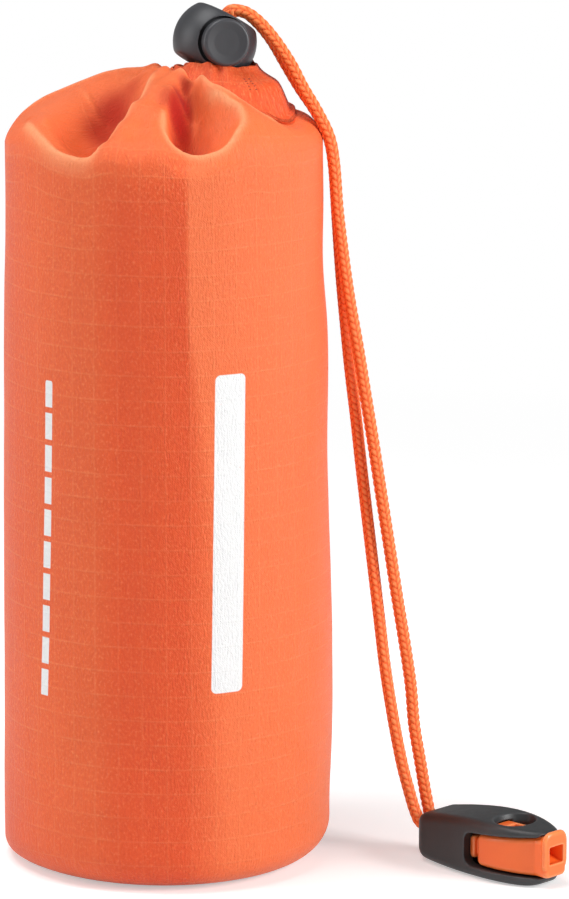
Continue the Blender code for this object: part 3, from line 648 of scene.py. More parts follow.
def rounded_ring(x: float, half: float, low: float, high: float, corner: float) -> list[Point]:
    """A rounded rectangle square to X, as a ring of points.

    Args:
        x: Where it stands.
        half: Half its width.
        low: Its lower edge.
        high: Its upper edge.
        corner: Its corners' radius.

    Returns:
        The ring.
    """
    corner = max(1e-5, min(corner, half * 0.98, (high - low) * 0.49))
    side, top, foot = half - corner, high - corner, low + corner
    middles = (side, top), (-side, top), (-side, foot), (side, foot)
    flats = [arc(middle, corner, 90 * i, 90 * i + 90, 9) for i, middle in enumerate(middles)]
    return [(x, y, z) for flat in flats for y, z in flat]


def soft_step(share: float) -> float:
    """0 up to 0, 1 from 1 on, and smooth between."""
    share = max(0.0, min(1.0, share))
    return share * share * (3.0 - 2.0 * share)


def bell(away: float, width: float) -> float:
    """1 in the middle, and fading on both sides over a width."""
    return math.exp(-((away / width) ** 2))


def off_angle(angle: float, middle: float) -> float:
    """How far an angle is from another, from -180 to 180 degrees."""
    return (angle - middle + 180.0) % 360.0 - 180.0


def front_turn(point: Vector) -> float:
    """A point's angle about Z in radians, from the sack's front towards +X."""
    return math.atan2(point.x, -point.y)


def side_turn(point: Vector) -> float:
    """A point's angle about Z in radians, from +X towards the sack's back."""
    return math.atan2(point.y, point.x)


def pushed(point: Vector, push: float) -> Vector:
    """A point moved away from Z by a distance."""
    scale = (math.hypot(point.x, point.y) + push) / math.hypot(point.x, point.y)
    return Vector((point.x * scale, point.y * scale, point.z))


def puff(x: float, y: float, z: float) -> float:
    """Smooth noise from about -1 to 1."""
    return noise.noise(Vector((x, y, z)))


def rotation(degrees: float, axis: str) -> Matrix:
    """A turn about an axis."""
    return Matrix.Rotation(math.radians(degrees), 4, axis)


UPRIGHT = rotation(90, "X")
LOCK_PLACE = Matrix.Translation((0.0110, 0.0027, 0.1783))
LOCK_PLACE = LOCK_PLACE @ rotation(27.9, "Y") @ rotation(-11.7, "X") @ rotation(10.4, "Z")
CLIP_PLACE = Matrix.Translation((0.0582, -0.0058, 0.0001)) @ rotation(-46.0, "Z")


# ---------------------------------------------------------------- pieces


def add_piece(bm: Mesh, name: str, turn: Matrix | None = None) -> Piece:
    """Makes an object from a bmesh, which it frees.

    Args:
        bm: The shape.
        name: The piece's name.
        turn: The frame in which the shape stands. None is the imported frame.

    Returns:
        The object, in the scene.
    """
    if turn is not None:
        bmesh.ops.transform(bm, matrix=turn, verts=bm.verts)
    mesh = bpy.data.meshes.new(name)
    bm.to_mesh(mesh)
    bm.free()
    mesh.shade_smooth()
    made = bpy.data.objects.new(name, mesh)
    bpy.context.scene.collection.objects.link(made)
    return made


def modified(piece: Piece, kind: str, **settings: Any) -> Piece:
    """Turns a modifier's result into a piece's mesh.

    Args:
        piece: The piece.
        kind: The modifier's type.
        settings: Its properties.

    Returns:
        The same piece.
    """
    modifier = piece.modifiers.new(kind, kind)
    for key, value in settings.items():
        setattr(modifier, key, value)
    bpy.context.view_layer.update()
    graph = bpy.context.evaluated_depsgraph_get()
    mesh = bpy.data.meshes.new_from_object(piece.evaluated_get(graph))
    piece.modifiers.clear()
    old, piece.data = piece.data, mesh
    bpy.data.meshes.remove(old)
    mesh.name = piece.name
    mesh.shade_smooth()
    return piece


def thickened(piece: Piece, thickness: float, offset: float = -1.0) -> Piece:
    """Gives a sheet a thickness: inwards at offset -1, to both sides at 0."""
    return modified(piece, "SOLIDIFY", thickness=thickness, offset=offset, use_even_offset=False)


def removed(piece: Piece) -> None:
    """Takes a piece and its mesh out of the file.

    Args:
        piece: The piece.
    """
    mesh = piece.data
    bpy.data.objects.remove(piece, do_unlink=True)
    bpy.data.meshes.remove(mesh)


def carved(piece: Piece, *cutters: Piece, operation: str = "DIFFERENCE") -> None:
    """Cuts one solid with others, which are then removed.

    Args:
        piece: The solid that stays.
        cutters: The solids that go, in order.
        operation: The Boolean's operation.
    """
    for cutter in cutters:
        modified(piece, "BOOLEAN", operation=operation, solver="EXACT", object=cutter)
        removed(cutter)


def joined(piece: Piece, other: Piece) -> None:
    """Adds another piece's mesh to a piece, and removes the other.

    Args:
        piece: The piece that stays.
        other: The piece that goes.
    """
    bm = bmesh.new()
    bm.from_mesh(piece.data)
    bm.from_mesh(other.data)
    bm.to_mesh(piece.data)
    bm.free()
    removed(other)


def moulded(piece: Piece, grain: float, passes: int = 5) -> None:
    """Gives a cut solid the even skin and soft edges of a moulding, and marks its edges.

    Args:
        piece: The solid.
        grain: The size of the skin's faces, in metres.
        passes: How often the skin is smoothed.
    """
    modified(piece, "REMESH", mode="VOXEL", voxel_size=grain, adaptivity=0.0)
    bm = bmesh.new()
    bm.from_mesh(piece.data)
    axes = {f"use_axis_{axis}": True for axis in "xyz"}
    for _ in range(passes):
        bmesh.ops.smooth_vert(bm, verts=bm.verts, factor=0.5, **axes)
    mark_edges(bm, grain)
    bm.to_mesh(piece.data)
    bm.free()
    piece.data.shade_smooth()


def mark_edges(bm: Mesh, grain: float) -> None:
    """Stores on each point how much it stands out as an edge, from 0 to 1.

    Args:
        bm: The skin.
        grain: The size of its faces, in metres.
    """
    bm.normal_update()
    layer = bm.verts.layers.float.new("edge")
    bulge = {}
    for vert in bm.verts:
        around = [edge.other_vert(vert).co for edge in vert.link_edges]
        middle = sum(around, Vector()) / max(1, len(around))
        bulge[vert] = (vert.co - middle).dot(vert.normal) / grain
    for vert, own in bulge.items():
        near = [bulge[edge.other_vert(vert)] for edge in vert.link_edges]
        mean = (own + sum(near)) / (1 + len(near))
        vert[layer] = max(0.0, min(1.0, (mean - 0.01) / 0.05))


def turned(
    bm: Mesh,
    outline: Iterable[Flat],
    steps: int,
    closed: bool = False,
    turns: int = 1,
    measured: int = 0,
) -> None:
    """Turns an outline about Z into a skin.

    Args:
        bm: Where the skin is added.
        outline: Its points, as (radius, height).
        steps: How many steps the turn has.
        closed: Whether the outline is a loop.
        turns: How many turns it makes. One turn is closed.
        measured: 1 where each point keeps its distance from the outline's first, -1 its last.
    """
    layer = bm.verts.layers.float.new("distance") if measured else None
    verts = [bm.verts.new((radius, 0.0, height)) for radius, height in outline]
    if measured:
        walk, travelled = verts[::measured], 0.0
        for vert, before in zip(walk, [walk[0], *walk]):
            travelled += (vert.co - before.co).length
            vert[layer] = travelled
    ends = [*verts[1:], verts[0]] if closed else verts[1:]
    edges = [bm.edges.new(pair) for pair in zip(verts, ends)]
    line = {"geom": [*verts, *edges], "cent": (0, 0, 0), "axis": (0, 0, 1)}
    bmesh.ops.spin(bm, **line, angle=2 * math.pi * turns, steps=steps, use_merge=turns == 1)
    if turns == 1:
        bmesh.ops.remove_doubles(bm, verts=bm.verts, dist=MERGE_DISTANCE)
        bmesh.ops.recalc_face_normals(bm, faces=bm.faces)


def lathe(profile: Iterable[Flat], steps: int) -> Mesh:
    """Turns a profile of (radius, height) points, whose ends lie on Z, into a solid.

    Args:
        profile: The points.
        steps: How many steps the turn has.

    Returns:
        The solid.
    """
    bm = bmesh.new()
    turned(bm, profile, steps)
    return bm


def lay_map(bm: Mesh, radius: float, heading: Callable[[Vector], float]) -> None:
    """Gives each face of a turned skin the cloth's map: round it and along it, in metres.

    Args:
        bm: The skin, whose points keep their distance along its outline.
        radius: The radius at which the map's width is true.
        heading: Gives a point's angle about Z.
    """
    distance = bm.verts.layers.float["distance"]
    layer = bm.loops.layers.uv.new(CLOTH_MAP)
    for face in bm.faces:
        middle = heading(face.calc_center_median())
        for loop in face.loops:
            angle = heading(loop.vert.co)
            angle += 2 * math.pi * round((middle - angle) / (2 * math.pi))
            loop[layer].uv = (angle * radius, loop.vert[distance])


def block(name: str, low: Point, high: Point, turn: Matrix) -> Piece:
    """A box between two corners of a turned frame.

    Args:
        name: The piece's name.
        low: Its lower corner.
        high: Its upper corner.
        turn: The frame.

    Returns:
        The box.
    """
    bm = bmesh.new()
    bmesh.ops.create_cube(bm, size=1.0)
    bmesh.ops.scale(bm, verts=bm.verts, vec=Vector(high) - Vector(low))
    bmesh.ops.translate(bm, verts=bm.verts, vec=(Vector(low) + Vector(high)) / 2)
    return add_piece(bm, name, turn)


def rod(name: str, radius: float, low: float, high: float, turn: Matrix) -> Piece:
    """A cylinder about a turned frame's Z, between two heights.

    Args:
        name: The piece's name.
        radius: Its radius.
        low: Its lower end.
        high: Its upper end.
        turn: The frame.

    Returns:
        The cylinder.
    """
    bm = bmesh.new()
    size = {"radius1": radius, "radius2": radius, "depth": high - low}
    bmesh.ops.create_cone(bm, cap_ends=True, segments=72, **size)
    bmesh.ops.translate(bm, verts=bm.verts, vec=(0, 0, (low + high) / 2))
    return add_piece(bm, name, turn)


def slab(name: str, outline: Iterable[Flat], half: float, turn: Matrix) -> Piece:
    """A flat outline drawn out to both sides of its plane.

    Args:
        name: The piece's name.
        outline: Its corners in order.
        half: Half its thickness.
        turn: The frame.

    Returns:
        The slab.
    """
    bm = bmesh.new()
    face = bm.faces.new([bm.verts.new((x, y, -half)) for x, y in outline])
    made = bmesh.ops.extrude_face_region(bm, geom=[face])["geom"]
    lifted = [item for item in made if isinstance(item, bmesh.types.BMVert)]
    bmesh.ops.translate(bm, verts=lifted, vec=(0, 0, 2 * half))
    bmesh.ops.recalc_face_normals(bm, faces=bm.faces)
    return add_piece(bm, name, turn)


def wrapped(
    rings: np.ndarray, cyclic: bool = False, label: str = "", shares: np.ndarray | None = None
) -> Mesh:
    """A closed skin over rings of points.

    Args:
        rings: The points, by ring, by place round it, by axis.
        cyclic: Whether the last ring meets the first.
        label: The name of a number that each point keeps.
        shares: That number, by ring and by place.

    Returns:
        The skin, as a bmesh.
    """
    count, sides = rings.shape[:2]
    spans = count if cyclic else count - 1
    bm = bmesh.new()
    layer = bm.verts.layers.float.new(label) if label else None
    bmesh.ops.create_grid(bm, x_segments=sides, y_segments=spans, size=0.5)
    for vert in bm.verts:
        side = round((vert.co.x + 0.5) * sides) % sides
        ring = round((vert.co.y + 0.5) * spans) % count
        vert.co = rings[ring, side]
        if layer is not None:
            vert[layer] = shares[ring, side]
    bmesh.ops.remove_doubles(bm, verts=bm.verts, dist=MERGE_DISTANCE / 10)
    if not cyclic:
        ends = [edge for edge in bm.edges if edge.is_boundary]
        bmesh.ops.holes_fill(bm, edges=ends, sides=0)
    bmesh.ops.recalc_face_normals(bm, faces=bm.faces)
    return bm


def add_stitch(bm: Mesh, foot: Vector, radius: float, scale: Point) -> None:
    """Adds one stitch: a small ball, scaled, at a place."""
    for vert in bmesh.ops.create_icosphere(bm, subdivisions=1, radius=radius)["verts"]:
        vert.co = Vector([part * size for part, size in zip(vert.co, scale)]) + foot


def dressed(piece: Piece, finish: Finish, body: Body, slot: Slot, *nodes: str) -> None:
    """Gives a piece its finish, its body and the nodes that it stands for.

    Args:
        piece: The piece.
        finish: Its finish.
        body: The body that carries it.
        slot: The record's material slot. Not used.
        nodes: The nodes that it replaces.
    """
    piece.data.materials.clear()
    piece.data.materials.append(material_of(finish))
    if nodes:
        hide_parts(*nodes)
    if "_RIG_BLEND" not in piece.data.attributes:
        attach(piece, body.value)
    LOG.info("%s: %d points, on %s", piece.name, len(piece.data.vertices), body.value)


# ---------------------------------------------------------------- the sack


class Drape:
    """A smooth sheet, seen from above, through spots of (x, y, height) in millimetres."""

    def __init__(self, spots: Sequence[Point], slack: float) -> None:
        """Solves for the sheet.

        Args:
            spots: The places that it passes through.
            slack: How freely it may miss them, for a smoother sheet.
        """
        given = np.array(spots, float)
        self.plan = given[:, :2]
        pull = self.bend(self.plan) + slack * np.eye(len(given))
        flat = np.hstack([np.ones((len(given), 1)), self.plan])
        whole = np.block([[pull, flat], [flat.T, np.zeros((3, 3))]])
        self.weights = np.linalg.solve(whole, np.concatenate([given[:, 2], np.zeros(3)]))

    def bend(self, places: np.ndarray) -> np.ndarray:
        """How strongly each spot is felt at each place."""
        away = np.linalg.norm(places[:, None, :] - self.plan[None, :, :], axis=2)
        return away**2 * np.log(away + 1e-9)

    def heights(self, places: np.ndarray) -> np.ndarray:
        """The sheet's height at places of (x, y), all in metres.

        Args:
            places: The places, one in each row.

        Returns:
            The heights.
        """
        scaled = places / MM
        flat = np.hstack([np.ones((len(scaled), 1)), scaled])
        return MM * (np.hstack([self.bend(scaled), flat]) @ self.weights)


@dataclass
class Dent:
    """A soft hollow or swelling in the sack's side."""

    angle: float
    height: float
    depth: float
    half_angle: float
    half_height: float
    lean: float = 0.0

    def push(self, angle: float, height: float) -> float:
        """How far it moves the cloth outwards.

        Args:
            angle: Where, in degrees from the sack's front.
            height: How high, in metres.

        Returns:
            The distance in metres.
        """
        rise = height - self.height
        away = off_angle(angle, self.angle) - self.lean * rise / self.half_height
        share = (away / self.half_angle) ** 2 + (rise / self.half_height) ** 2
        return self.depth * math.exp(-share) if share < 9.0 else 0.0


@dataclass
class Crease:
    """A narrow raised lip on the gathered top, with a hollow along its inner side."""

    line: Sequence[Flat]
    lift: float
    hollow: float
    inside: Flat
    width: float = 0.75
    end_run: float = 3.0

    def shares(self, places: np.ndarray) -> tuple[np.ndarray, np.ndarray]:
        """How much of the lip and of the hollow there is.

        Args:
            places: Where, as rows of (x, y) in millimetres.

        Returns:
            The share of the lip and that of the hollow.
        """
        nearest, side = np.full(len(places), 1e9), np.zeros(len(places))
        corners = catmull_rom([(x, y, 0.0) for x, y in self.line], 6)[:, :2]
        for start, end in zip(corners, corners[1:]):
            run = end - start
            share = np.clip((places - start) @ run / max(1e-9, run @ run), 0.0, 1.0)
            away = places - (start + share[:, None] * run)
            distance = np.linalg.norm(away, axis=1)
            towards = np.array(self.inside) - (start + end) / 2
            closer = distance < nearest
            nearest = np.where(closer, distance, nearest)
            side = np.where(closer, np.sign(away @ towards), side)
        reach = 1.0
        for end in (corners[0], corners[-1]):
            reach = np.minimum(reach, np.linalg.norm(places - end, axis=1) / self.end_run)
        signed = nearest * side
        lip = reach * np.exp(-((signed / self.width) ** 2))
        sunk = reach * np.exp(-(((signed - 2.6 * self.width) / (1.7 * self.width)) ** 2))
        return lip, sunk


TOP_SPOTS = (
    # The rim.
    (-34.1, 0, 160.5), (-32, -11.7, 161.4), (-28.9, -18.1, 162.0), (-25.3, -22.8, 161.0),
    (-21.9, -26.1, 160.0), (-18.1, -28.9, 159.4), (-14.4, -30.9, 159.7), (-8.8, -32.9, 160.2),
    (-3, -34, 160.2), (1.2, -34.1, 160.0), (5.9, -33.6, 159.8), (10.5, -32.4, 160.2),
    (16, -30.1, 161.0), (21.9, -26.1, 161.0), (27.9, -19.6, 160.7), (32, -11.7, 160.6),
    (34.1, 0, 161.0), (32, 11.7, 161.0), (24.1, 24.1, 160.6), (11.7, 32, 161.0),
    (0, 34.1, 160.5), (-11.7, 32, 161.0), (-24.1, 24.1, 161.2), (-32, 11.7, 161.2),
    # The left scoop.
    (-24.8, -15.2, 164.2), (-23, -20.5, 161.2), (-20.5, -22.5, 158.4), (-17, -25, 157.0),
    (-13.5, -26, 156.2), (-16, -21, 155.6), (-12.8, -20.5, 155.0), (-21, -17, 159.2),
    (-10.4, -15, 157.8), (-8.0, -9, 163.2), (-14, -13, 158.6), (-14, -5, 165.0),
    (-20, -8, 164.8), (-24, -6, 165.4), (-19, -2, 167.2),
    # The crest behind it.
    (-32.5, 3, 161.4), (-30.8, 4, 162.6), (-28.7, 5, 164.2), (-25, 5, 166.4), (-20.9, 5, 168.1),
    (-16.4, 5, 169.9), (-12.5, 5, 171.4), (-8.2, 4, 172.2), (-4, 2, 172.4), (-1.2, 2, 173.4),
    # The flat face in the middle.
    (-13.2, -28.6, 160.4), (-9.5, -23, 163.8), (-6.8, -18, 167.1), (-3.6, -11, 170.6),
    (-2.2, -6, 172.6), (-1.6, -3.5, 173.5), (-6, -28, 162.2), (-4.5, -23, 164.9),
    (-2.0, -18, 167.8), (0.6, -12, 171.1), (3.2, -15, 169.0), (0.2, -22, 165.8),
    (0.4, -27.5, 162.8), (-11.2, -25.8, 161.6),
    # The deep scoop.
    (4.0, -20.5, 156.6), (4.0, -24.5, 155.2), (6, -27.8, 156.2), (8.5, -27.2, 157.0),
    (7, -23, 155.4), (6.6, -18, 158.6), (6.0, -14.2, 164.0), (4.4, -10.8, 169.6),
    (10.5, -23, 159.4), (10.0, -18.4, 162.6), (12.2, -25.6, 160.2), (13.2, -22, 163.0),
    # The ridge to the right of it.
    (15.2, -27, 163.4), (16.6, -23.8, 165.2), (15.8, -19.8, 167.3), (12.5, -16.4, 168.9),
    (8.6, -12.6, 171.0), (1.4, -6, 173.6), (4.5, -8, 173.0), (7.7, -11, 172.0), (11.9, -14, 170.2),
    (16, -16, 168.1), (20.2, -17, 165.6), (24, -17, 163.4), (12, -10, 168.6), (18, -11, 165.6),
    (23, -10, 162.8), (26.4, -6, 161.6), (28.3, 2, 163.2), (31.4, 3, 162.3),
    # Round the neck.
    (0.4, 2.2, 171.6), (2.6, -4.2, 171.2), (6.4, -7.0, 169.6), (10.5, -8.0, 168.0), (17, -6, 165.4),
    (21.5, 0, 164.4), (22, 6, 164.6), (18, 10.5, 166.4), (10.5, 12.4, 169.0), (3.2, 9.4, 170.8),
    # The back.
    (24, 8, 164.6), (30, 8, 162.4), (26, 16, 160.6), (21, 13, 163.4), (19, 24, 163.8),
    (15.5, 17, 167.2), (9, 27, 160.2), (9.8, 20, 164.0), (-2, 29, 163.2), (2.5, 18, 169.0),
    (-13, 24, 160.6), (-6.5, 15, 165.6), (-23, 18, 164.0), (-13.5, 12.5, 168.8),
)

DENTS = tuple(
    Dent(*sizes)
    for sizes in (
        (92, 0.132, -0.00035, 24, 0.010), (90, 0.110, 0.00065, 20, 0.014),
        (92, 0.046, 0.00110, 28, 0.036), (88, 0.012, -0.00030, 22, 0.008),
        (-90, 0.140, -0.00025, 20, 0.012), (-88, 0.075, 0.00020, 22, 0.022),
        (-34, 0.028, -0.00050, 15, 0.009, 8), (-20, 0.021, 0.00030, 12, 0.006, 6),
        (-12, 0.090, -0.00030, 9, 0.050, 3), (36, 0.032, -0.00025, 12, 0.018, -5),
        (52, 0.060, 0.00020, 14, 0.020, 4), (-60, 0.110, -0.00020, 16, 0.018, -6),
        (150, 0.110, -0.00045, 18, 0.024, 6), (-150, 0.060, -0.00040, 16, 0.022, -6),
        (-120, 0.120, 0.00030, 18, 0.020, 4), (128, 0.050, 0.00030, 18, 0.022, -4),
        (-24, 0.0135, -0.00050, 4, 0.0026, 3), (-19, 0.0170, 0.00030, 4, 0.0026, 2),
        (50, 0.0250, -0.00045, 9, 0.0042, -6), (58, 0.0480, -0.00035, 8, 0.0070, 5),
        (24, 0.0110, -0.00030, 9, 0.0040, 4),
    )
)

CREASES = (
    Crease(
        (
            (-29.5, -12), (-27.8, -17), (-25.0, -21.8), (-21.9, -25.2), (-18.1, -28.0),
            (-14.8, -29.4), (-12.4, -27.4), (-9.6, -23), (-6.7, -18), (-3.6, -11), (-2.2, -6),
        ),
        0.50, 0.60, (-17, -18),
    ),
    Crease(
        (
            (2.4, -11), (1.2, -16), (0.2, -22), (0.1, -27.0), (1.8, -30.6), (5.9, -32.0),
            (10.5, -31.0), (14.0, -28.8), (16.0, -26.2), (16.6, -23.4), (15.4, -19.6),
            (12.2, -16.2), (8.6, -12.8),
        ),
        0.50, 0.65, (7.5, -22),
    ),
    Crease(
        ((1.4, -6), (4.5, -8), (7.9, -11), (11.9, -14), (16, -16), (20.2, -17), (25, -17.4)),
        0.45, 0.20, (14, -8),
    ),
    Crease(
        ((-31.5, 3.5), (-25, 5.4), (-20.9, 5.4), (-16.4, 5.2), (-12.5, 5), (-8, 4), (-3, 2)),
        0.25, 0.20, (-16, -4),
    ),
    Crease(((-17.4, 0.4), (-16.2, -2.6), (-14.6, -5.8), (-13.6, -8.0)), 0.22, 0.20, (-10, -6), 0.5),
    Crease(((4.9, -8.5), (6.0, -12), (6.6, -15.5), (5.6, -20)), 0.25, 0.30, (1, -16), 0.6),
)

# Spots of painted shade in the folds' hollows, as (x, y, size, strength) with the first three in
# millimetres.
PAINTED_SHADE_SPOTS = (
    (-10.8, -6.6, 4.8, 0.88), (-12.8, -10.2, 4.4, 0.80), (-8.8, -8.8, 3.6, 0.75),
    (-7.4, -4.4, 2.6, 0.55), (-12.0, -16.5, 4.4, 0.30),
    (3.0, -17.0, 3.7, 1.0), (4.0, -13.6, 2.9, 1.0), (4.9, -10.2, 1.7, 0.80), (4.6, -21.5, 3.6, 0.9),
    (17.0, -9.0, 3.4, 0.30), (11.0, -9.6, 2.4, 0.40), (5.0, -6.0, 1.6, 0.4),
)


@dataclass
class StuffSack:
    """The round sack: a shell of cloth lofted from the base, over the shoulder, to the neck."""

    base_radius: float = 0.0357
    top_radius: float = 0.0341
    crease_height: float = 0.1565
    corner_radius: float = 0.0078
    shoulder_radius: float = 0.0040
    cloth: float = 0.0006
    neck_radius: float = 0.0100
    neck_offset: Flat = (0.0105, 0.0022)
    stretch_height: float = 0.132
    side_rows: int = 64
    top_rows: int = 54
    shoulder_rows: int = 9
    corner_rows: int = 12
    steps: int = 300
    crinkle: float = 0.00018
    pleats: int = 17
    pleat_height: float = 0.00045
    streak_height: float = 0.00030
    soft_height: float = 0.00022
    seam_height: float = 0.00035
    seam_width: float = 1.6
    drape: Drape = field(default_factory=lambda: Drape(TOP_SPOTS, 0.35))
    ridge_height: float = 0.00085
    ridge_spread: float = 9.0
    sharp_foot: float = -98.0
    sharp_spread: float = 34.0
    sharp_share: float = 0.52
    base_gap: float = 0.0003
    stitch: float = 0.0021
    stitch_gap: float = 0.0009
    stitch_radius: float = 0.00024
    stitch_start: float = 0.007
    stitch_angle: float = 2.9

    @property
    def lip_radius(self) -> float:
        """Where the shoulder's rounding ends and the gathered top begins."""
        return self.top_radius - self.shoulder_radius

    @property
    def lip_height(self) -> float:
        """The height of the flat top before it is gathered."""
        return self.crease_height + self.shoulder_radius

    def profile(self) -> list[Flat]:
        """The shell's outline before it is gathered.

        Returns:
            Its (radius, height) points, from the neck down to the floor.
        """
        reach = self.neck_radius - self.lip_radius
        rows = range(self.top_rows, 0, -1)
        top = [(self.lip_radius + reach * row / self.top_rows, self.lip_height) for row in rows]
        crease = (self.lip_radius, self.crease_height)
        middle = (self.base_radius - self.corner_radius, self.cloth / 2 + self.corner_radius)
        drop, spread = middle[1] - self.crease_height, self.base_radius - self.top_radius
        shares = [row / self.side_rows for row in range(1, self.side_rows)]
        side = [(self.top_radius + spread * s, self.crease_height + drop * s) for s in shares]
        return [
            *top,
            *arc(crease, self.shoulder_radius, 90, 0, self.shoulder_rows),
            *side,
            *arc(middle, self.corner_radius, 0, -90, self.corner_rows),
        ]

    def hang(self, bm: Mesh) -> None:
        """Lays the plain turned shell's top over the drape, and rounds it into the side.

        Args:
            bm: The shell.
        """
        place = np.array([vert.co for vert in bm.verts])
        radius = np.hypot(place[:, 0], place[:, 1])
        reach = self.lip_radius - self.neck_radius
        run = np.clip((self.lip_radius - radius) / reach, 0.0, 1.0)
        share = np.clip((radius - self.lip_radius) / self.shoulder_radius, 0.0, 1.0)
        fillet = self.shoulder_radius * (1.0 - np.sqrt(1.0 - share**2))
        upper = place[:, 2] >= self.crease_height - 1e-6
        run[~upper] = 0.0
        plan = place[:, :2] + np.outer(run, self.neck_offset)
        plan[~upper] = (place[:, :2] / radius[:, None])[~upper] * self.top_radius
        sheet = self.drape.heights(plan)
        wall = sheet - self.shoulder_radius - self.crease_height
        stretch = self.crease_height - self.stretch_height
        held = np.clip((place[:, 2] - self.stretch_height) / stretch, 0.0, 1.0)
        place[~upper, 2] += (wall * held * held * (3.0 - 2.0 * held))[~upper]
        place[upper, :2] = plan[upper]
        # Painted tones kept on the points: a highlight on the creases' lips and shade in the hollows.
        lip_highlights, shade = np.zeros(len(place)), np.zeros(len(place))
        for crease in CREASES:
            lip, sunk = crease.shares(plan / MM)
            sheet = sheet + MM * (crease.lift * lip - crease.hollow * sunk)
            lip_highlights = np.maximum(lip_highlights, lip * upper * min(1.0, 2.0 * crease.lift))
        for x, y, size, strength in PAINTED_SHADE_SPOTS:
            away = np.hypot(plan[:, 0] / MM - x, plan[:, 1] / MM - y) / size
            shade = np.maximum(shade, strength * np.exp(-(away**3)) * upper)
        place[upper, 2] = (sheet - fillet)[upper]
        fold = bm.verts.layers.float["fold"]
        tones = 0.5 + 0.5 * lip_highlights * (1.0 - shade) - 0.5 * shade
        for vert, co, inwards, top, tone in zip(bm.verts, place, run, upper, tones):
            vert.co = co
            vert[fold] = tone
            if top:
                vert.co.z += self.ruffle(vert.co, float(inwards))

    def ruffle(self, point: Vector, run: float) -> float:
        """How far small puckers lift the top's cloth at a place.

        Args:
            point: The place.
            run: Its share of the way from the shoulder to the neck.

        Returns:
            The lift.
        """
        x, y = point.x - self.neck_offset[0], point.y - self.neck_offset[1]
        angle = math.atan2(y, x)
        spread = puff(math.cos(angle) * 1.7, math.sin(angle) * 1.7, 3.1) * 2.8
        pleat = math.sin(self.pleats * angle + spread) * soft_step((run - 0.55) / 0.4)
        streak = puff(math.cos(angle) * 6.5, math.sin(angle) * 6.5, math.hypot(x, y) * 60)
        soft = puff(point.x * 130, point.y * 130, 4.0)
        small = streak * self.streak_height + soft * self.soft_height
        return pleat * self.pleat_height + small * soft_step(run / 0.15)

    def sagged(self, point: Vector) -> Vector:
        """Where a point of the round side lies once the cloth has its dents and crinkles.

        Args:
            point: The point.

        Returns:
            Its place.
        """
        angle = math.degrees(front_turn(point))
        push = sum(dent.push(angle, point.z) for dent in DENTS)
        size = 0.022
        coarse = puff(point.x / size, point.y / size, point.z / (2.2 * size))
        size = 0.007
        fine = puff(point.x / size, point.y / size, point.z / (1.8 * size) + 9.0)
        push += self.crinkle * (1.3 * coarse + 0.45 * fine)
        push += self.ridge(angle, point.z)
        held = soft_step(point.z / 0.004) * soft_step((self.lip_height - point.z) / 0.004)
        return pushed(point, push * held)

    def ridge(self, angle: float, height: float) -> float:
        """The long soft edge down the front, where the cloth turns over the roll inside.

        Args:
            angle: Where, in degrees from the sack's front.
            height: How high, in metres.

        Returns:
            How far the cloth stands out.
        """
        from_line = angle - (8.0 + 6.0 * soft_step((0.128 - height) / 0.046))
        away = math.hypot(from_line, 1.3 + 4.0 * soft_step((0.125 - height) / 0.06))
        faded = soft_step((height - 0.006) / 0.030) * soft_step((0.160 - height) / 0.012)
        far = self.ridge_height * 0.35 * bell(from_line + 27.0, 8.0)
        return (self.ridge_height * math.exp(-away / self.ridge_spread) - far) * faded

    def foot_share(self, point: Vector) -> float:
        """How large the foot's rounding is at a point, as a share of the largest."""
        away = off_angle(math.degrees(front_turn(point)), self.sharp_foot)
        return 1.0 - self.sharp_share * bell(away, self.sharp_spread)

    def rounded_foot(self, point: Vector) -> Vector:
        """The base's edge, which is sharper on the left.

        Args:
            point: A point of the side.

        Returns:
            Its place.
        """
        if point.z > self.corner_radius + self.cloth:
            return point
        share = self.foot_share(point)
        radius = math.hypot(point.x, point.y)
        scale = (self.base_radius - (self.base_radius - radius) * share) / radius
        return Vector((point.x * scale, point.y * scale, point.z * share))

    def seam(self, point: Vector) -> Vector:
        """The raised seam down the back.

        Args:
            point: A point of the side.

        Returns:
            Its place.
        """
        angle = math.degrees(math.atan2(point.x, point.y))
        held = soft_step(point.z / 0.003) * soft_step((self.lip_height - point.z) / 0.002)
        return pushed(point, self.seam_height * bell(angle, self.seam_width) * held)

    def make_body(self) -> None:
        """The sack's body."""
        bm = bmesh.new()
        turned(bm, self.profile(), self.steps, measured=-1)
        # Holds the painted highlight and shade of the gathered top.
        bm.verts.layers.float.new("fold")
        if sum(face.normal.dot(face.calc_center_median()) for face in bm.faces) < 0:
            bmesh.ops.reverse_faces(bm, faces=bm.faces)
        lay_map(bm, self.base_radius, front_turn)
        for vert in bm.verts:
            if vert.co.z < self.lip_height - 1e-5 or math.hypot(*vert.co.xy) > self.lip_radius:
                vert.co = self.seam(self.rounded_foot(self.sagged(vert.co)))
        self.hang(bm)
        body = thickened(add_piece(bm, "stuff_sack_body"), self.cloth)
        dressed(body, ORANGE_CLOTH, Body.SACK, Slot.RIPSTOP, "sack_body")

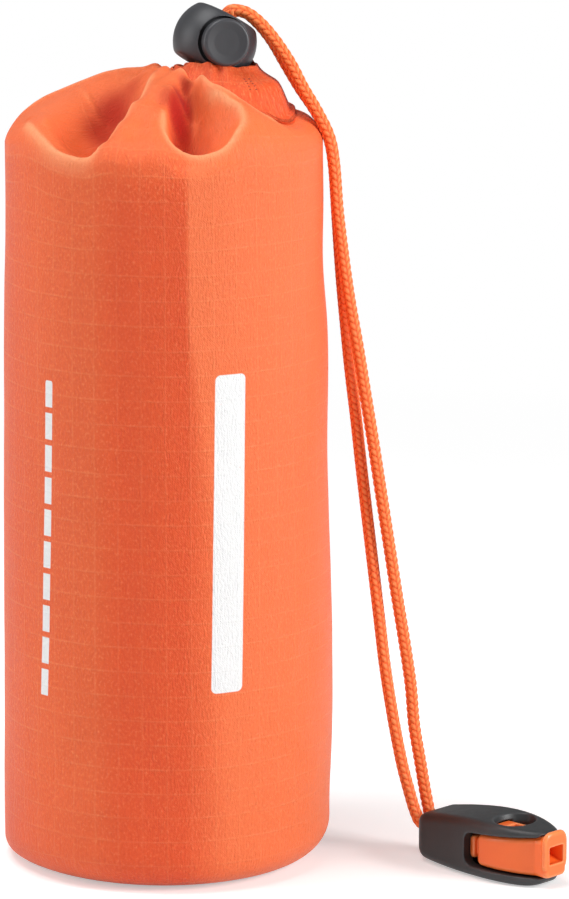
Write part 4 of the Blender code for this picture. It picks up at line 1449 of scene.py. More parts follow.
    def make_base(self) -> None:
        """The round base panel, with a turned-in rim and a faint crown."""
        rim = self.base_radius - self.corner_radius - self.base_gap
        profile = [(0.0, 0.0006), (rim * 0.6, 0.00058), (rim - 0.0012, 0.0006), (rim, 0.00045)]
        profile += [(rim, 0.0), (rim - 0.001, 0.0), (rim - 0.0022, 0.00022), (0.0, 0.00030)]
        bm = lathe(profile, 160)
        for vert in bm.verts:
            radius = math.hypot(vert.co.x, vert.co.y)
            if radius > rim * 0.5:
                corner = self.corner_radius * self.foot_share(vert.co)
                wider = (self.base_radius - corner - self.base_gap) / rim
                wider = 1.0 + (wider - 1.0) * soft_step((radius / rim - 0.5) / 0.5)
                vert.co = Vector((vert.co.x * wider, vert.co.y * wider, vert.co.z))
        layer = bm.loops.layers.uv.new(CLOTH_MAP)
        for loop in [loop for face in bm.faces for loop in face.loops]:
            loop[layer].uv = loop.vert.co.xy
        base = add_piece(bm, "stuff_sack_base")
        dressed(base, PLAIN_CLOTH, Body.SACK, Slot.RIPSTOP, "sack_base")

    def make_stitches(self) -> None:
        """A row of stitches down each side of the back seam."""
        bm = bmesh.new()
        spread = self.top_radius - self.base_radius
        scale = (1.0, 1.0, self.stitch / (2 * self.stitch_radius))
        height = self.stitch_start
        while height < self.crease_height - 0.002:
            for angle in (-self.stitch_angle, self.stitch_angle):
                turn = math.radians(angle)
                radius = self.base_radius + spread * (height / self.crease_height)
                foot = Vector((math.sin(turn) * radius, math.cos(turn) * radius, height))
                add_stitch(bm, self.seam(self.sagged(foot)), self.stitch_radius, scale)
            height += self.stitch + self.stitch_gap
        dressed(add_piece(bm, "seam_stitches"), ORANGE_THREAD, Body.SACK, Slot.RIPSTOP)

    def make(self) -> None:
        """Builds the sack."""
        self.make_body()
        self.make_base()
        self.make_stitches()


@dataclass
class HemChannel:
    """The hem at the mouth: a sleeve round the cord, whose outer layer hangs to the right."""

    sack: StuffSack
    centre: Flat = (0.0105, 0.0022)
    section: Sequence[Flat] = (
        (12.75, 166.3), (12.7, 168.3), (11.9, 170.4), (10.5, 172.4), (9.5, 174.0), (9.1, 174.7),
        (8.8, 174.9), (8.5, 174.5), (8.3, 173.0), (8.2, 170.5), (8.25, 168.0), (8.5, 166.3),
        (9.4, 165.6), (10.6, 165.3), (11.9, 165.5),
    )
    foot: float = 0.1655
    height: float = 0.0095
    skirt_turn: float = -9.0
    skirt_spread: float = 58.0
    skirt_reach: float = 0.0052
    wall: float = 0.0005
    pleats: int = 14
    pleat_depth: float = 0.00042
    left_drop: float = 0.0024
    right_drop: float = 0.0015
    steps: int = 420
    map_radius: float = 0.016
    tack_turn: float = -52.0
    tack_half: float = 0.055
    tack_line: Sequence[Flat] = (
        (10.7, 172.0), (11.1, 171.4), (11.45, 170.8), (11.8, 170.2), (12.1, 169.6),
    )
    tack_radius: float = 0.00019
    tack_scale: Point = (1.7, 1.7, 0.9)

    def shaped(self, point: Vector) -> Vector:
        """A point of the plain turned sleeve, pleated, tilted and flared.

        Args:
            point: The point.

        Returns:
            Its place.
        """
        radius, height = math.hypot(point.x, point.y), point.z
        turn = side_turn(point)
        share = bell(off_angle(math.degrees(turn), self.skirt_turn), self.skirt_spread)
        rise = (height - self.foot) / self.height
        outer = soft_step((radius - 0.0088) / 0.0008)
        flare = share * outer * max(0.0, min(1.0, (0.1746 - height) / 0.0080)) ** 1.9
        wander = puff(math.cos(turn) * 1.9, math.sin(turn) * 1.9, 7.0)
        fine = puff(math.cos(turn) * 4.5, math.sin(turn) * 4.5, rise * 1.3)
        phase = self.pleats * turn + 2.6 * wander
        depth = self.pleat_depth * (1.0 - 0.85 * share) * (0.4 + 0.6 * soft_step(rise))
        radius += self.skirt_reach * flare + depth * math.sin(phase) + 0.00035 * fine
        ruffle = 0.0003 * math.sin(phase + 1.1) * (1.0 - 0.9 * share)
        height += ruffle * soft_step((rise - 0.6) / 0.4)
        height += 0.0004 * wander * soft_step((rise - 0.5) / 0.5)
        high = soft_step((rise - 0.3) / 0.7)
        height -= self.left_drop * high * max(0.0, -math.cos(turn + 0.5)) ** 0.8
        height -= self.right_drop * high * max(0.0, math.cos(turn + 0.2))
        shift = 0.0005 * soft_step(rise)
        x = self.centre[0] + shift + radius * math.cos(turn)
        y = self.centre[1] + shift + radius * math.sin(turn)
        landing = share * outer * soft_step((0.1700 - height) / 0.0036)
        if landing > 0.0:
            resting = float(self.sack.drape.heights(np.array([[x, y]]))[0]) + 0.0004
            height += (resting - height) * min(1.0, landing * 1.25)
        return Vector((x, y, height))

    def make_sleeve(self) -> None:
        """The sleeve."""
        corners = [(radius * MM, 0.0, height * MM) for radius, height in self.section]
        bm = bmesh.new()
        outline = catmull_rom(corners, 4, True)[:, [0, 2]]
        turned(bm, outline, self.steps, closed=True, measured=1)
        lay_map(bm, self.map_radius, side_turn)
        for vert in bm.verts:
            vert.co = self.shaped(vert.co)
        sleeve = thickened(add_piece(bm, "hem_channel"), self.wall)
        dressed(sleeve, PLAIN_CLOTH, Body.SACK, Slot.RIPSTOP, "drawcord_channel")

    def make_tack(self) -> None:
        """The row of stitches across the hem."""
        bm = bmesh.new()
        for column in (-self.tack_half, self.tack_half):
            for radius, height in self.tack_line:
                turn = math.radians(self.tack_turn) + column
                across = Vector((math.cos(turn), math.sin(turn), 0))
                foot = self.shaped(across * (radius * MM) + Vector((0, 0, height * MM)))
                add_stitch(bm, foot, self.tack_radius, self.tack_scale)
        dressed(add_piece(bm, "hem_tack"), DARK_THREAD, Body.SACK, Slot.RIPSTOP)

    def make(self) -> None:
        """Builds the sleeve and the tack that closes its end."""
        self.make_sleeve()
        self.make_tack()


@dataclass
class TentRoll:
    """The tent: film folded to a long strip and rolled up, inside the sack."""

    radius: float = 0.0311
    core: float = 0.0036
    floor: float = 0.0010
    length: float = 0.1438
    turns: int = 13
    steps_per_turn: int = 56
    rows: int = 9
    layer: float = 0.0011
    play: float = 0.0002
    waver: float = 0.00015

    def make(self) -> None:
        """Builds the roll as one spiral of film."""
        bm = bmesh.new()
        steps = self.turns * self.steps_per_turn
        heights = [self.floor + self.length * row / self.rows for row in range(self.rows + 1)]
        turned(bm, [(1.0, height) for height in heights], steps, turns=self.turns)
        bm.verts.ensure_lookup_table()
        outermost = self.radius - self.layer / 2 - self.play
        for vert in bm.verts:
            share = (vert.index // (self.rows + 1)) / steps
            radius = self.core + (outermost - self.core) * share
            radius += self.waver * puff(vert.co.x * 2, vert.co.y * 2, vert.co.z * 30 + share * 9)
            vert.co = Vector((vert.co.x * radius, vert.co.y * radius, vert.co.z))
        bmesh.ops.recalc_face_normals(bm, faces=bm.faces)
        roll = thickened(add_piece(bm, "rolled_tent"), self.layer, 0.0)
        dressed(roll, FILM_SILVER, Body.SACK, Slot.FILM, "tent_roll")


# ---------------------------------------------------------------- the cord

# The strands' routes from the lock to the clip, in millimetres.
FRONT_ROUTE = (
    (14.28, 2.49, 183.89), (14.65, 2.65, 184.59), (15.70, 2.50, 184.90), (18.10, 2.10, 184.30),
    (20.90, 1.30, 182.10), (23.90, 0.40, 178.60), (27.10, -0.50, 173.80), (29.70, -1.10, 168.80),
    (32.70, -1.60, 163.70), (35.30, -1.90, 158.20), (36.40, -2.10, 152.00), (37.30, -2.30, 141.01),
    (39.40, -2.50, 125.01), (41.40, -2.60, 113.50), (43.20, -2.70, 102.51), (45.00, -2.80, 91.50),
    (46.70, -2.80, 80.50), (48.50, -2.70, 69.00), (50.20, -2.50, 58.00), (52.00, -2.10, 47.01),
    (53.40, -1.80, 37.51), (54.20, -1.80, 28.50), (55.60, -1.70, 20.00), (56.60, -1.60, 14.00),
    (57.20, -1.90, 10.81), (57.62, -2.32, 8.80), (58.05, -2.76, 7.60), (58.60, -3.34, 7.15),
    (59.43, -4.20, 7.10),
)
BACK_ROUTE = (
    (13.50, 5.47, 183.61), (13.86, 5.63, 184.30), (15.00, 5.70, 184.70), (17.70, 5.70, 184.10),
    (20.50, 4.70, 181.80), (23.30, 3.80, 178.30), (26.20, 2.90, 173.40), (29.20, 2.20, 168.40),
    (32.50, 1.70, 163.50), (35.30, 1.40, 158.00), (36.50, 1.20, 151.80), (37.20, 1.10, 141.01),
    (38.10, 1.00, 128.01), (39.10, 0.90, 117.00), (40.10, 0.70, 107.00), (41.30, 0.40, 97.00),
    (42.50, 0.00, 86.01), (43.80, -0.50, 75.00), (45.10, -1.10, 64.00), (46.40, -1.70, 52.99),
    (47.70, -2.30, 42.00), (49.40, -3.20, 31.01), (51.40, -3.50, 20.49), (53.10, -3.90, 13.79),
    (54.20, -4.50, 10.00), (54.82, -5.12, 8.50), (55.25, -5.62, 7.55), (55.80, -6.20, 7.15),
    (56.55, -6.97, 7.10),
)


@dataclass
class BraidedTube:
    """A round braid, modelled plait by plait along a path."""

    radius: float = 0.0014
    relief: float = 0.00030
    plaits: int = 6
    pitch: float = 0.00156
    slope: float = 0.62
    sides: int = 48
    ring_step: float = 0.00019

    def standing(self, angle: np.ndarray, travelled: np.ndarray) -> np.ndarray:
        """How far the plait at each place stands out of its groove, from 0 to 1.

        Args:
            angle: Angles round the cord, in radians.
            travelled: Distances along it, in metres.

        Returns:
            The share of the relief.
        """
        column = angle * self.plaits / (2 * math.pi)
        number = np.floor(column)
        across = column - number - 0.5
        side = np.where(number % 2 == 0, 1.0, -1.0)
        along = travelled / self.pitch - side * across * self.slope + 0.5 * (number % 2)
        along = along - np.round(along)
        wide = np.clip(1.0 - (1.86 * across) ** 2, 0.0, 1.0)
        long = np.clip(1.0 - (2.06 * along) ** 2, 0.0, 1.0)
        return (wide * long) ** 0.55

    def tube(self, name: str, path: np.ndarray, cyclic: bool = False) -> Piece:
        """A braided tube along a path.

        Args:
            name: The piece's name.
            path: The points of its middle line.
            cyclic: Whether its end meets its start.

        Returns:
            The tube as an object.
        """
        middle = evenly(path, self.ring_step)
        if cyclic:
            middle = middle[:-1]
        side, other = carried_frames(middle, cyclic)
        count = len(middle)
        angle = 2 * math.pi * np.arange(self.sides) / self.sides
        travelled = path_length(middle) * np.arange(count) / max(1, count - 1)
        share = self.standing(angle[None, :], travelled[:, None])
        reach = (self.radius - self.relief + self.relief * share)[:, :, None]
        right, up = (turn(angle)[None, :, None] for turn in (np.cos, np.sin))
        out = right * side[:, None] + up * other[:, None]
        return add_piece(wrapped(middle[:, None] + reach * out, cyclic, "relief", share), name)


@dataclass
class DrawCord:
    """The drawcord: held in the hem, and free in two strands from the lock to the clip."""

    diameter: float = 0.0028
    braid: BraidedTube = field(default_factory=BraidedTube)
    pair_offset: float = 0.00155
    pair_reach: float = 0.006
    pair_drop: float = 0.0067
    ring_centre: Flat = (0.0105, 0.0022)
    ring_radius: float = 0.0102
    ring_height: float = 0.16775
    ring_start: float = 27.0
    path_step: float = 0.0012
    blend_start: Point = (0.034, 0.0, 0.160)
    knot: BraidedTube = field(
        default_factory=lambda: BraidedTube(
            0.00095, 0.0002, pitch=0.0011, sides=40, ring_step=0.00018
        )
    )
    knot_name: str = "cord_end_knot_tied"
    knot_size: float = 0.00105
    knot_centre: Flat = (0.0102, 0.0054)
    knot_steps: int = 90
    stub_side: float = 0.002
    stub: Sequence[Flat] = ((0.0002, 0.0070), (0.0030, 0.0070), (0.0062, 0.0067), (0.0095, 0.0056))

    def make_strand(
        self, name: str, spots: Sequence[Point], node: str
    ) -> None:
        """One free strand.

        Args:
            name: The piece's name.
            spots: The points that it runs through, in millimetres.
            node: The node that it stands for.
        """
        route = [tuple(round(part / 1000, 5) for part in spot) for spot in spots]
        middle = np.vstack([route[0], catmull_rom(route[1:-1]), route[-1]])
        path = [tuple(point) for point in evenly(middle, self.path_step)]
        strand = self.braid.tube(name, catmull_rom(path, 8))
        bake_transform(strand, Body.SACK.value, Body.LOCK.value, start=self.blend_start, end=route[0])
        dressed(strand, ORANGE_BRAID, Body.SACK, Slot.CORD, node)

    def make_loop(self) -> None:
        """The held part: down through the lock, round inside the hem, and up again."""
        heights = (self.pair_reach, 0.002, -0.002, -self.pair_drop)
        down = [LOCK_PLACE @ Vector((0, -self.pair_offset, height)) for height in heights]
        up = [LOCK_PLACE @ Vector((0, self.pair_offset, height)) for height in heights[::-1]]
        start, end = self.ring_start - 180, 180 - self.ring_start
        turn = arc(self.ring_centre, self.ring_radius, start, end, 28)
        ring = [Vector((x, y, self.ring_height)) for x, y in turn]
        inward = Vector((self.diameter / 2, 0, -self.diameter / 4))
        entry = ring[0].lerp(down[-1], 0.5) + inward
        leave = ring[-1].lerp(up[0], 0.5) + inward
        route = [tuple(point) for point in (*down, entry, *ring, leave, *up)]
        loop = self.braid.tube("drawcord_in_hem", catmull_rom(route))
        dressed(loop, ORANGE_BRAID, Body.SACK, Slot.CORD, "drawcord_loop")

    def make_knot(self) -> None:
        """The cord's two ends, tied together inside the clip."""
        route = []
        for t in (2 * math.pi * step / self.knot_steps for step in range(self.knot_steps)):
            reach = (2 + math.cos(3 * t)) * self.knot_size
            x = self.knot_centre[0] + self.knot_size * math.sin(3 * t)
            y, z = reach * math.cos(2 * t), self.knot_centre[1] + reach * math.sin(2 * t)
            route.append(tuple(CLIP_PLACE @ Vector((x, y, z))))
        knot = self.knot.tube(self.knot_name, np.array([*route, route[0]]), cyclic=True)
        for side in (-self.stub_side, self.stub_side):
            path = [tuple(CLIP_PLACE @ Vector((x, side, z))) for x, z in self.stub]
            joined(knot, self.braid.tube("cord_stub", catmull_rom(path)))
        dressed(knot, ORANGE_BRAID, Body.SACK, Slot.CORD, "cord_end_knot")


# ---------------------------------------------------------------- the cord lock


@dataclass
class CordLock:
    """The ball lock: a barrel cut flat above and below, with a sprung push button."""

    radius: float = 0.0090
    half_height: float = 0.0060
    edge: float = 0.0005
    skin: float = 0.00016
    button_skin: float = 0.00014
    steps: int = 144
    gap: float = 0.0003
    pair_reach: float = 0.00325
    slot_half: float = 0.0017
    slot_length: float = 0.012
    button_radius: float = 0.0051
    button_height: float = 0.0024
    button_face: float = 0.0101
    button_dish: float = 0.00022
    button_rim: float = 0.0007
    rim_gap: float = 0.0004
    stem_radius: float = 0.0036
    stem_end: float = -0.00435
    travel: float = 0.0024
    bore_depth: float = 0.00721
    pocket_radius: float = 0.0021
    pocket_depth: float = 0.00785
    wire: float = 0.0004
    coil_radius: float = 0.0016
    coils: int = 6
    coil_steps: int = 30
    axis: Matrix = field(default_factory=lambda: LOCK_PLACE @ UPRIGHT)

    def cord_slot(self, low: float, high: float) -> Piece:
        """The cut for both cords, between two distances along the button's axis."""
        corner = (self.slot_half, -low, self.slot_length)
        return block("slot", (-corner[0], -high, -corner[2]), corner, LOCK_PLACE)

    def make_barrel(self) -> None:
        """The barrel."""
        tall = self.half_height
        flat = math.sqrt(self.radius**2 - tall**2) - self.edge / 2
        angle = math.degrees(math.asin(tall / self.radius))
        ball = arc((0.0, 0.0), self.radius, angle - 2.5, 2.5 - angle, 40)
        profile = [(0.0, tall), (flat, tall), *ball, (flat, -tall), (0.0, -tall)]
        barrel = add_piece(lathe(profile, self.steps), "cord_lock_barrel", LOCK_PLACE)
        recess = self.button_face - self.button_height - self.travel - self.gap
        far = 2 * self.radius
        carved(
            barrel,
            rod("recess", self.button_radius + self.rim_gap, recess, far, self.axis),
            rod("bore", self.stem_radius + self.gap, -self.bore_depth, far, self.axis),
            rod("pocket", self.pocket_radius, -self.pocket_depth, 0.0, self.axis),
            self.cord_slot(-self.pair_reach, self.pair_reach),
        )
        moulded(barrel, self.skin)
        dressed(barrel, LOCK_GREY, Body.LOCK, Slot.LOCK, "lock_barrel")

    def make_button(self) -> None:
        """The push button with its stem."""
        size, face, rim = self.button_radius, self.button_face, self.button_rim
        dish = ((0.0, 1.0), (size * 0.55, 0.85), (size * 0.76, 0.3), (size - rim, 0.0))
        low = face - self.button_height
        profile = [
            *((radius, face - self.button_dish * share) for radius, share in dish),
            *arc((size - rim, face - rim), rim, 80, 0, 6),
            (size, low), (self.stem_radius, low), (self.stem_radius, self.stem_end),
            (0.0, self.stem_end),
        ]
        button = add_piece(lathe(profile, self.steps), "cord_lock_button", self.axis)
        carved(button, self.cord_slot(-self.pair_reach, self.pair_reach + self.travel))
        moulded(button, self.button_skin, 3)
        dressed(button, LOCK_GREY, Body.BUTTON, Slot.LOCK, "lock_plunger")

    def make_spring(self) -> None:
        """The spring behind the button."""
        low = -self.pocket_depth + self.gap + self.wire / 2
        high = self.stem_end - self.gap - self.wire / 2
        count = self.coils * self.coil_steps
        path = []
        for step in range(count + 1):
            angle = 2 * math.pi * step / self.coil_steps
            coil = Vector((math.cos(angle), math.sin(angle), 0)) * self.coil_radius
            rise = Vector((0, 0, low + (high - low) * step / count))
            path.append(tuple(self.axis @ (coil + rise)))
        wire = BraidedTube(self.wire / 2, 0.0, sides=12, ring_step=0.0002)
        spring = wire.tube("cord_lock_spring", np.array(path))
        dressed(spring, SPRING_WIRE, Body.LOCK, Slot.SPRING, "lock_spring")
        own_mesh(spring)

    def make(self) -> None:
        """Builds the lock."""
        self.make_barrel()
        self.make_button()
        self.make_spring()


# ---------------------------------------------------------------- the whistle clip


@dataclass
class WhistleClip:
    """The clip at the cord's end: a black housing whose jaws hold an orange whistle."""

    housing_name: str = "whistle_clip_housing"
    whistle_name: str = "whistle_body"
    length: float = 0.0346
    rear_height: float = 0.0104
    height: float = 0.0128
    rear_half: float = 0.0056
    half: float = 0.0073
    tip_half: float = 0.0029
    widest: float = 0.60
    soft_edge: float = 0.0017
    rear_start: float = -0.0006
    rear_round: float = 0.0030
    tip_round: float = 0.0014
    tip_rise: float = 0.0010
    rear_rise: float = 0.0008
    jaw_root: float = 0.0157
    root_gap: float = 0.0072
    mouth_gap: float = 0.0092
    jaw_rise: float = 0.0006
    jaw_height: float = 0.0060
    window_centre: float = 0.0242
    window: Flat = (0.0036, 0.0046)
    window_slope: float = 0.0022
    pocket_length: float = 0.0096
    pocket_half: float = 0.0044
    pocket_height: float = 0.0054
    hole_spacing: float = 0.0040
    hole_height: float = 0.0070
    hole_radius: float = 0.0017
    gap: float = 0.0003
    rail_room: float = 0.00022
    overhang: float = 0.0016
    inset: float = 0.0008
    mouth_half: float = 0.0033
    rib: float = 0.0017
    rib_inset: float = 0.0012
    groove: float = 0.0012
    rear_edge: float = 0.0018
    small_edge: float = 0.0009
    slot_half: float = 0.0022
    slot_tall: float = 0.0019
    slot_middle: float = 0.00725
    slot_depth: float = 0.0070
    lip_half: float = 0.0037
    lip_low: float = 0.0031
    lip_high: float = 0.0124
    rail_start: float = 0.0195
    rail_half: float = 0.0024
    rail_top: float = 0.01125
    rail_edge: float = 0.0008
    vent: float = 0.0012
    skin: float = 0.0002
    whistle_skin: float = 0.00017

    @property
    def end(self) -> float:
        """How far the whistle reaches."""
        return self.length + self.overhang

    def half_width(self, x: float) -> float:
        """Half the clip's width.

        Args:
            x: The distance from its rear.

        Returns:
            The half width.
        """
        share = min(1.0, max(0.0, x / self.length))
        if share < self.widest:
            grown = math.sin(share / self.widest * math.pi / 2)
            return self.rear_half + (self.half - self.rear_half) * grown
        left = (share - self.widest) / (1.0 - self.widest)
        return self.tip_half + (self.half - self.tip_half) * (1.0 - left**2.2)

    def side_view(self) -> list[np.ndarray]:
        """The clip from its side.

        Returns:
            Its upper and its lower outline, as points of (x, z, 0).
        """
        tall, rear = self.height, self.rear_height
        upper = (0.0, rear), (0.24, tall * 0.6 + rear * 0.4), (0.46, tall * 0.96 + rear * 0.04)
        upper += (0.66, tall), (1.0, tall - self.tip_rise * 0.6)
        lower = (0.0, self.rear_rise), (0.12, self.rear_rise * 0.35), (0.36, 0.0), (0.7, 0.0)
        lower += (0.90, 0.0), (1.0, self.tip_rise)
        lines = [[(self.length * share, z, 0.0) for share, z in line] for line in (upper, lower)]
        return [catmull_rom(line, 10) for line in lines]

    def jaw_share(self, x: float) -> float:
        """How far along the jaws a distance from the clip's rear is, from 0 to 1."""
        return (x - self.jaw_root) / (self.length - self.jaw_root)

    def jaw_middle(self, x: float) -> float:
        """The height of the middle of the space between the jaws."""
        return self.jaw_height + self.jaw_rise * (x - self.jaw_root) / (self.length - self.jaw_root)

    def jaw_half_gap(self, x: float) -> float:
        """Half the height of that space."""
        return (self.root_gap + (self.mouth_gap - self.root_gap) * self.jaw_share(x)) / 2

    def jaw_side(self, end: float) -> list[Flat]:
        """The space between the jaws, from the side.

        Args:
            end: How far it reaches.

        Returns:
            Its outline.
        """
        radius = self.jaw_half_gap(self.jaw_root) * 0.55
        x = self.jaw_root + radius
        low, high = (self.jaw_middle(x) + sign * self.jaw_half_gap(x) for sign in (-1, 1))
        return [
            *arc((x, high - radius), radius, 90, 180, 8),
            *arc((x, low + radius), radius, 180, 270, 8),
            (end, self.jaw_middle(end) - self.jaw_half_gap(end)),
            (end, self.jaw_middle(end) + self.jaw_half_gap(end)),
        ]

    def upright(self, name: str, outline: Iterable[Flat], half: float) -> Piece:
        """An outline in the clip's upright plane, drawn out to both sides of it."""
        return slab(name, outline, half, CLIP_PLACE @ UPRIGHT)

    def put(self, name: str, rings: Sequence[Sequence[Point]]) -> Piece:
        """A skin over rings in the clip's own frame."""
        return add_piece(wrapped(np.array(rings)), name, CLIP_PLACE)

    def housing_rings(self) -> list[list[Point]]:
        """The housing's sections, rounded off at both ends.

        Returns:
            The rings, from its rear to its tip.
        """
        upper, lower = self.side_view()
        rear, tip = rounding(self.rear_round, 10)[:-1], rounding(self.tip_round, 10)[-2::-1]
        first, last = self.rear_start + self.rear_round, self.length - self.tip_round
        stations = [(self.rear_start + along, inset) for along, inset in rear]
        stations += [(first + (last - first) * step / 44, 0.0) for step in range(45)]
        stations += [(self.length - along, inset) for along, inset in tip]
        rings = []
        for x, inset in stations:
            low = float(np.interp(x, lower[:, 0], lower[:, 1])) + inset
            high = float(np.interp(x, upper[:, 0], upper[:, 1])) - inset
            half = self.half_width(x) - inset
            rings.append(rounded_ring(x, half, low, high, self.soft_edge - inset * 0.5))
        return rings

    def window_ring(self, level: float, spread: float) -> list[Point]:
        """The window's outline at one height.

        Args:
            level: The height.
            spread: How much wider it is there, as a share of its rim's slope.

        Returns:
            The ring.
        """
        turns = [2 * math.pi * step / 48 for step in range(48)]
        long, wide = (size + self.window_slope * spread for size in self.window)
        return [(self.window_centre + long * math.cos(t), wide * math.sin(t), level) for t in turns]

    def rail(self, name: str, start: float, end: float, room: float) -> Piece:
        """The whistle's top rail, which shows in the window and slides in a way in the jaw.

        Args:
            name: The piece's name.
            start: Where it starts.
            end: Where it ends.
            room: How much larger it is on each side.

        Returns:
            The rail.
        """
        foot, top, edge = self.jaw_middle(start), self.rail_top + room, self.rail_edge
        outline = [(start, foot), (end, foot), (end, top), (start + edge, top), (start, top - edge)]
        return self.upright(name, outline, self.rail_half + room)

    def make_housing(self) -> None:
        """The black housing."""
        housing = self.put(self.housing_name, self.housing_rings())
        beyond = self.length + 0.004
        levels = ((self.jaw_middle(self.window_centre), 0.0), (self.height - 0.0016, 0.0))
        levels += ((self.height + 0.004, 1.0),)
        window = [self.window_ring(level, spread) for level, spread in levels]
        rear, half, tall = self.jaw_root - self.pocket_length, self.pocket_half, self.pocket_height
        carved(
            housing,
            self.upright("jaws", self.jaw_side(beyond), 0.02),
            self.put("window", window),
            self.rail("rail_way", self.rail_start - self.gap, beyond, self.rail_room),
            block(
                "pocket",
                (rear, -half, tall - half),
                (self.jaw_root + 0.003, half, tall + half),
                CLIP_PLACE,
            ),
        )
        for side in (-1, 1):
            foot = Matrix.Translation((0, side * self.hole_spacing / 2, self.hole_height))
            turn = CLIP_PLACE @ foot @ rotation(90, "Y")
            carved(housing, rod("hole", self.hole_radius, -0.01, rear + 0.0005, turn))
        moulded(housing, self.skin)
        dressed(housing, CLIP_BLACK, Body.SACK, Slot.CLIP, "whistle_housing")

    def whistle_rings(self) -> list[list[Point]]:
        """The whistle's sections: a thin rib, a groove, and the body with its rounded rear.

        Returns:
            The rings, from its root to its mouth.
        """
        root, edge = self.jaw_root - self.gap, self.small_edge
        groove = root + self.rib
        body = groove + self.groove
        rib, rear = rounding(edge, 15), rounding(self.rear_edge, 15)
        front = rib[::-1]
        first = body + self.rear_edge + 0.0001
        stations = [(root + along, self.rib_inset + inset) for along, inset in rib]
        stations += [(groove - 0.0004, 0.0012), (groove - 0.0001, 0.0014)]
        stations += [(groove + 0.0001, 0.0022), (body - 0.0001, 0.0020)]
        stations += [(body + along, inset) for along, inset in rear]
        stations += [(first + (self.end - edge - first) * step / 24, 0.0) for step in range(1, 25)]
        stations += [(self.end - along, inset) for along, inset in front]
        rings = []
        for x, inset in stations:
            half = max(self.half_width(x) - self.inset, self.mouth_half) - inset
            gap = self.jaw_half_gap(x) - self.gap - inset * 0.7
            middle = self.jaw_middle(x)
            rings.append(rounded_ring(x, half, middle - gap, middle + gap, 0.0011 - inset * 0.3))
        return rings

    def lip_rings(self) -> list[list[Point]]:
        """The sections of the lip round the whistle's mouth.

        Returns:
            The rings.
        """
        stations = [(self.length + x, inset) for x, inset in ((0.0002, 0.0006), (0.0005, 0.0001))]
        stations += [(self.length + 0.0008, 0.0)]
        ends = ((0.0007, 0.0), (0.0003, 0.00015), (0.0001, 0.0004), (0.0, 0.0008))
        stations += [(self.end - x, inset) for x, inset in ends]
        half, low, high = self.lip_half, self.lip_low, self.lip_high
        return [rounded_ring(x, half - i, low + i, high - i, 0.0021) for x, i in stations]

    def make_whistle(self) -> None:
        """The orange whistle, with its rib, its rail, its mouth and its sound vent."""
        end, middle, tall, vent = self.end, self.slot_middle, self.slot_tall, self.vent
        centre, rear = self.window_centre, self.jaw_root + self.rib + self.groove + 0.0028
        whistle = self.put(self.whistle_name, self.whistle_rings())
        rail = self.rail("rail", self.rail_start, end - 0.0008, 0.0)
        carved(whistle, rail, self.put("lip", self.lip_rings()), operation="UNION")
        deep = end - self.slot_depth
        chamber = (rear, -0.0026, middle - 0.0020), (deep + 0.0003, 0.0026, middle + 0.0018)
        mouth = [
            (end + 0.004, middle - tall), (end + 0.004, middle + tall), (deep, middle + tall),
            (deep, middle + tall * 0.35), (end - 0.0012, middle - tall),
        ]
        slot = [
            (centre - vent, middle), (centre + vent, middle), (centre + vent * 3, self.height),
            (centre - vent, self.height),
        ]
        carved(
            whistle,
            block("chamber", *chamber, CLIP_PLACE),
            self.upright("mouth", mouth, self.slot_half),
            self.upright("vent", slot, self.rail_half * 0.62),
        )
        moulded(whistle, self.whistle_skin, 4)
        dressed(whistle, WHISTLE_ORANGE, Body.WHISTLE, Slot.WHISTLE, "whistle_insert")

    def make(self) -> None:
        """Builds the clip."""
        self.make_housing()
        self.make_whistle()


# ---------------------------------------------------------------- the studio


@dataclass
class Lamp:
    """A soft rectangular lamp that looks at a point."""

    name: str
    place: Point
    target: Point
    size: Flat
    power: float

    def make(self) -> None:
        """Puts the lamp in the scene."""
        light = bpy.data.lights.new(self.name, "AREA")
        light.shape = "RECTANGLE"
        light.size, light.size_y = self.size
        light.energy = self.power
        lamp = bpy.data.objects.new(self.name, light)
        lamp.location = self.place
        aim = Vector(self.target) - Vector(self.place)
        lamp.rotation_euler = aim.to_track_quat("-Z", "Y").to_euler()
        bpy.context.scene.collection.objects.link(lamp)


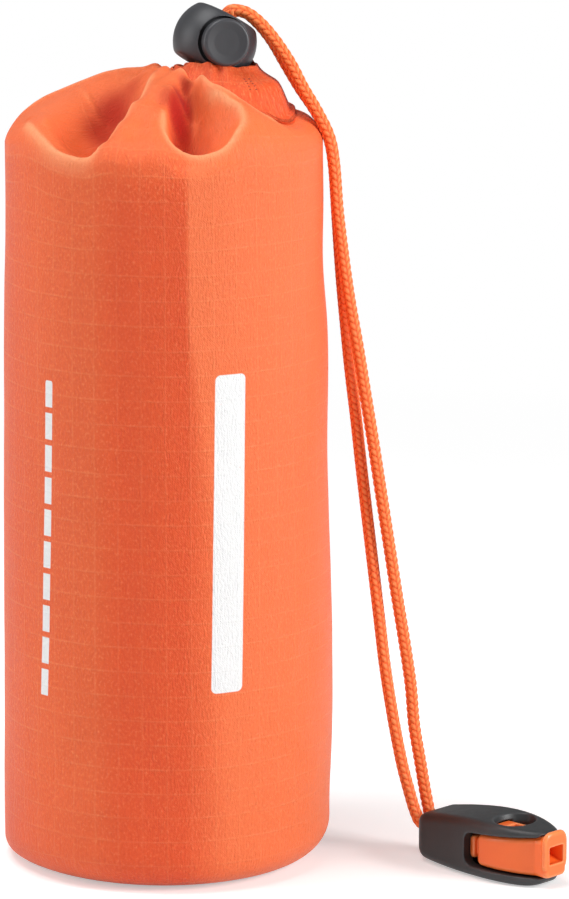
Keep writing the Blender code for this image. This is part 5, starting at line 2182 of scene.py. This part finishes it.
@dataclass
class Studio:
    """A pale floor, soft lamps and the camera."""

    camera_place: Point = (0.0, -1.0, 0.2965)
    camera_turn: Point = (78.322, 0.0, -1.479)
    lens: float = 188.5
    sensor: float = 36.0
    clip_range: Flat = (0.01, 100.0)
    floor_size: float = 6.0
    floor_drop: float = 0.0001
    floor_color: Color = (0.82, 0.82, 0.82)
    floor_glow: float = 0.41
    white_from: float = 0.16
    white_at: float = 0.55
    world_strength: float = 0.11
    mirrored_strength: float = 0.34
    lamps: Sequence[Lamp] = (
        Lamp("right_lamp", (0.85, -0.42, 0.42), (0.0, 0.0, 0.09), (0.35, 0.6), 9.0),
        Lamp("left_lamp", (-0.99, -0.12, 0.42), (0.0, 0.0, 0.09), (0.45, 0.7), 4.6),
        Lamp("top_lamp", (-0.25, -0.10, 0.95), (0.0, 0.0, 0.10), (0.5, 0.5), 5.5),
        Lamp("front_lamp", (-0.30, -1.00, 0.20), (0.06, 0.0, 0.02), (0.4, 0.4), 0.9),
    )

    def make_camera(self) -> None:
        """The camera, at the photograph's angle."""
        camera = bpy.data.cameras.new("camera")
        camera.lens, camera.sensor_width = self.lens, self.sensor
        camera.sensor_fit = "AUTO"
        camera.clip_start, camera.clip_end = self.clip_range
        made = bpy.data.objects.new("camera", camera)
        made.location = self.camera_place
        made.rotation_euler = tuple(math.radians(angle) for angle in self.camera_turn)
        bpy.context.scene.collection.objects.link(made)
        bpy.context.scene.camera = made

    def make_floor(self) -> None:
        """The floor, which keeps the soft shadow near the object and is white further out."""
        bm = bmesh.new()
        bmesh.ops.create_grid(bm, x_segments=1, y_segments=1, size=self.floor_size / 2)
        bmesh.ops.translate(bm, verts=bm.verts, vec=(0, 0, -self.floor_drop))
        floor = add_piece(bm, "floor")
        graph = Graph(bpy.data.materials.new("pale_floor"))
        x, y, _ = graph.split(graph.place())
        camera, mirror, through = graph.rays()
        seen = (camera + mirror + through).clamped()
        graph.surface(base_color=self.floor_color, roughness=0.9, specular_ior_level=0.0)
        graph.surface(emission_color=WHITE, emission_strength=seen * self.floor_glow)
        white = graph.add("ShaderNodeEmission", values={"Color": WHITE, "Strength": 1.0})
        near = Value(graph, graph.tree.nodes["Principled BSDF"].outputs[0])
        share = ((x * x + y * y) ** 0.5).ramp(self.white_from, self.white_at) * seen
        graph.show(graph.add("ShaderNodeMixShader", values={0: share, 1: near, 2: white}))
        floor.data.materials.append(graph.owner)

    def make_world(self) -> None:
        """White for the camera and in reflections, and a softer light on the object."""
        world = bpy.data.worlds.new("studio")
        bpy.context.scene.world = world
        graph = Graph(world)
        camera, mirror, through = graph.rays()
        strength = mirror * (self.mirrored_strength - self.world_strength) + self.world_strength
        soft = graph.add("ShaderNodeBackground", values={"Color": WHITE, "Strength": strength})
        white = graph.add("ShaderNodeBackground", values={"Color": WHITE, "Strength": 1.0})
        shares = {0: camera.most(through), 1: soft, 2: white}
        graph.show(graph.add("ShaderNodeMixShader", values=shares))

    def make(self) -> None:
        """Builds the studio."""
        bpy.context.scene.view_settings.view_transform = "Standard"
        self.make_camera()
        self.make_floor()
        self.make_world()
        for lamp in self.lamps:
            lamp.make()


def main() -> None:
    """Builds the studio and every piece in order."""
    logging.basicConfig(level=logging.INFO, format="%(name)s: %(message)s", stream=sys.stdout)
    Studio().make()
    clip = WhistleClip()
    clip.make()
    cord = DrawCord()
    cord.make_knot()
    cord.make_strand("drawcord_front", FRONT_ROUTE, "drawcord_strand_front")
    cord.make_strand("drawcord_back", BACK_ROUTE, "drawcord_strand_back")
    cord.make_loop()
    CordLock().make()
    sack = StuffSack()
    sack.make()
    HemChannel(sack).make()
    TentRoll().make()


if __name__ == "__main__":
    main()
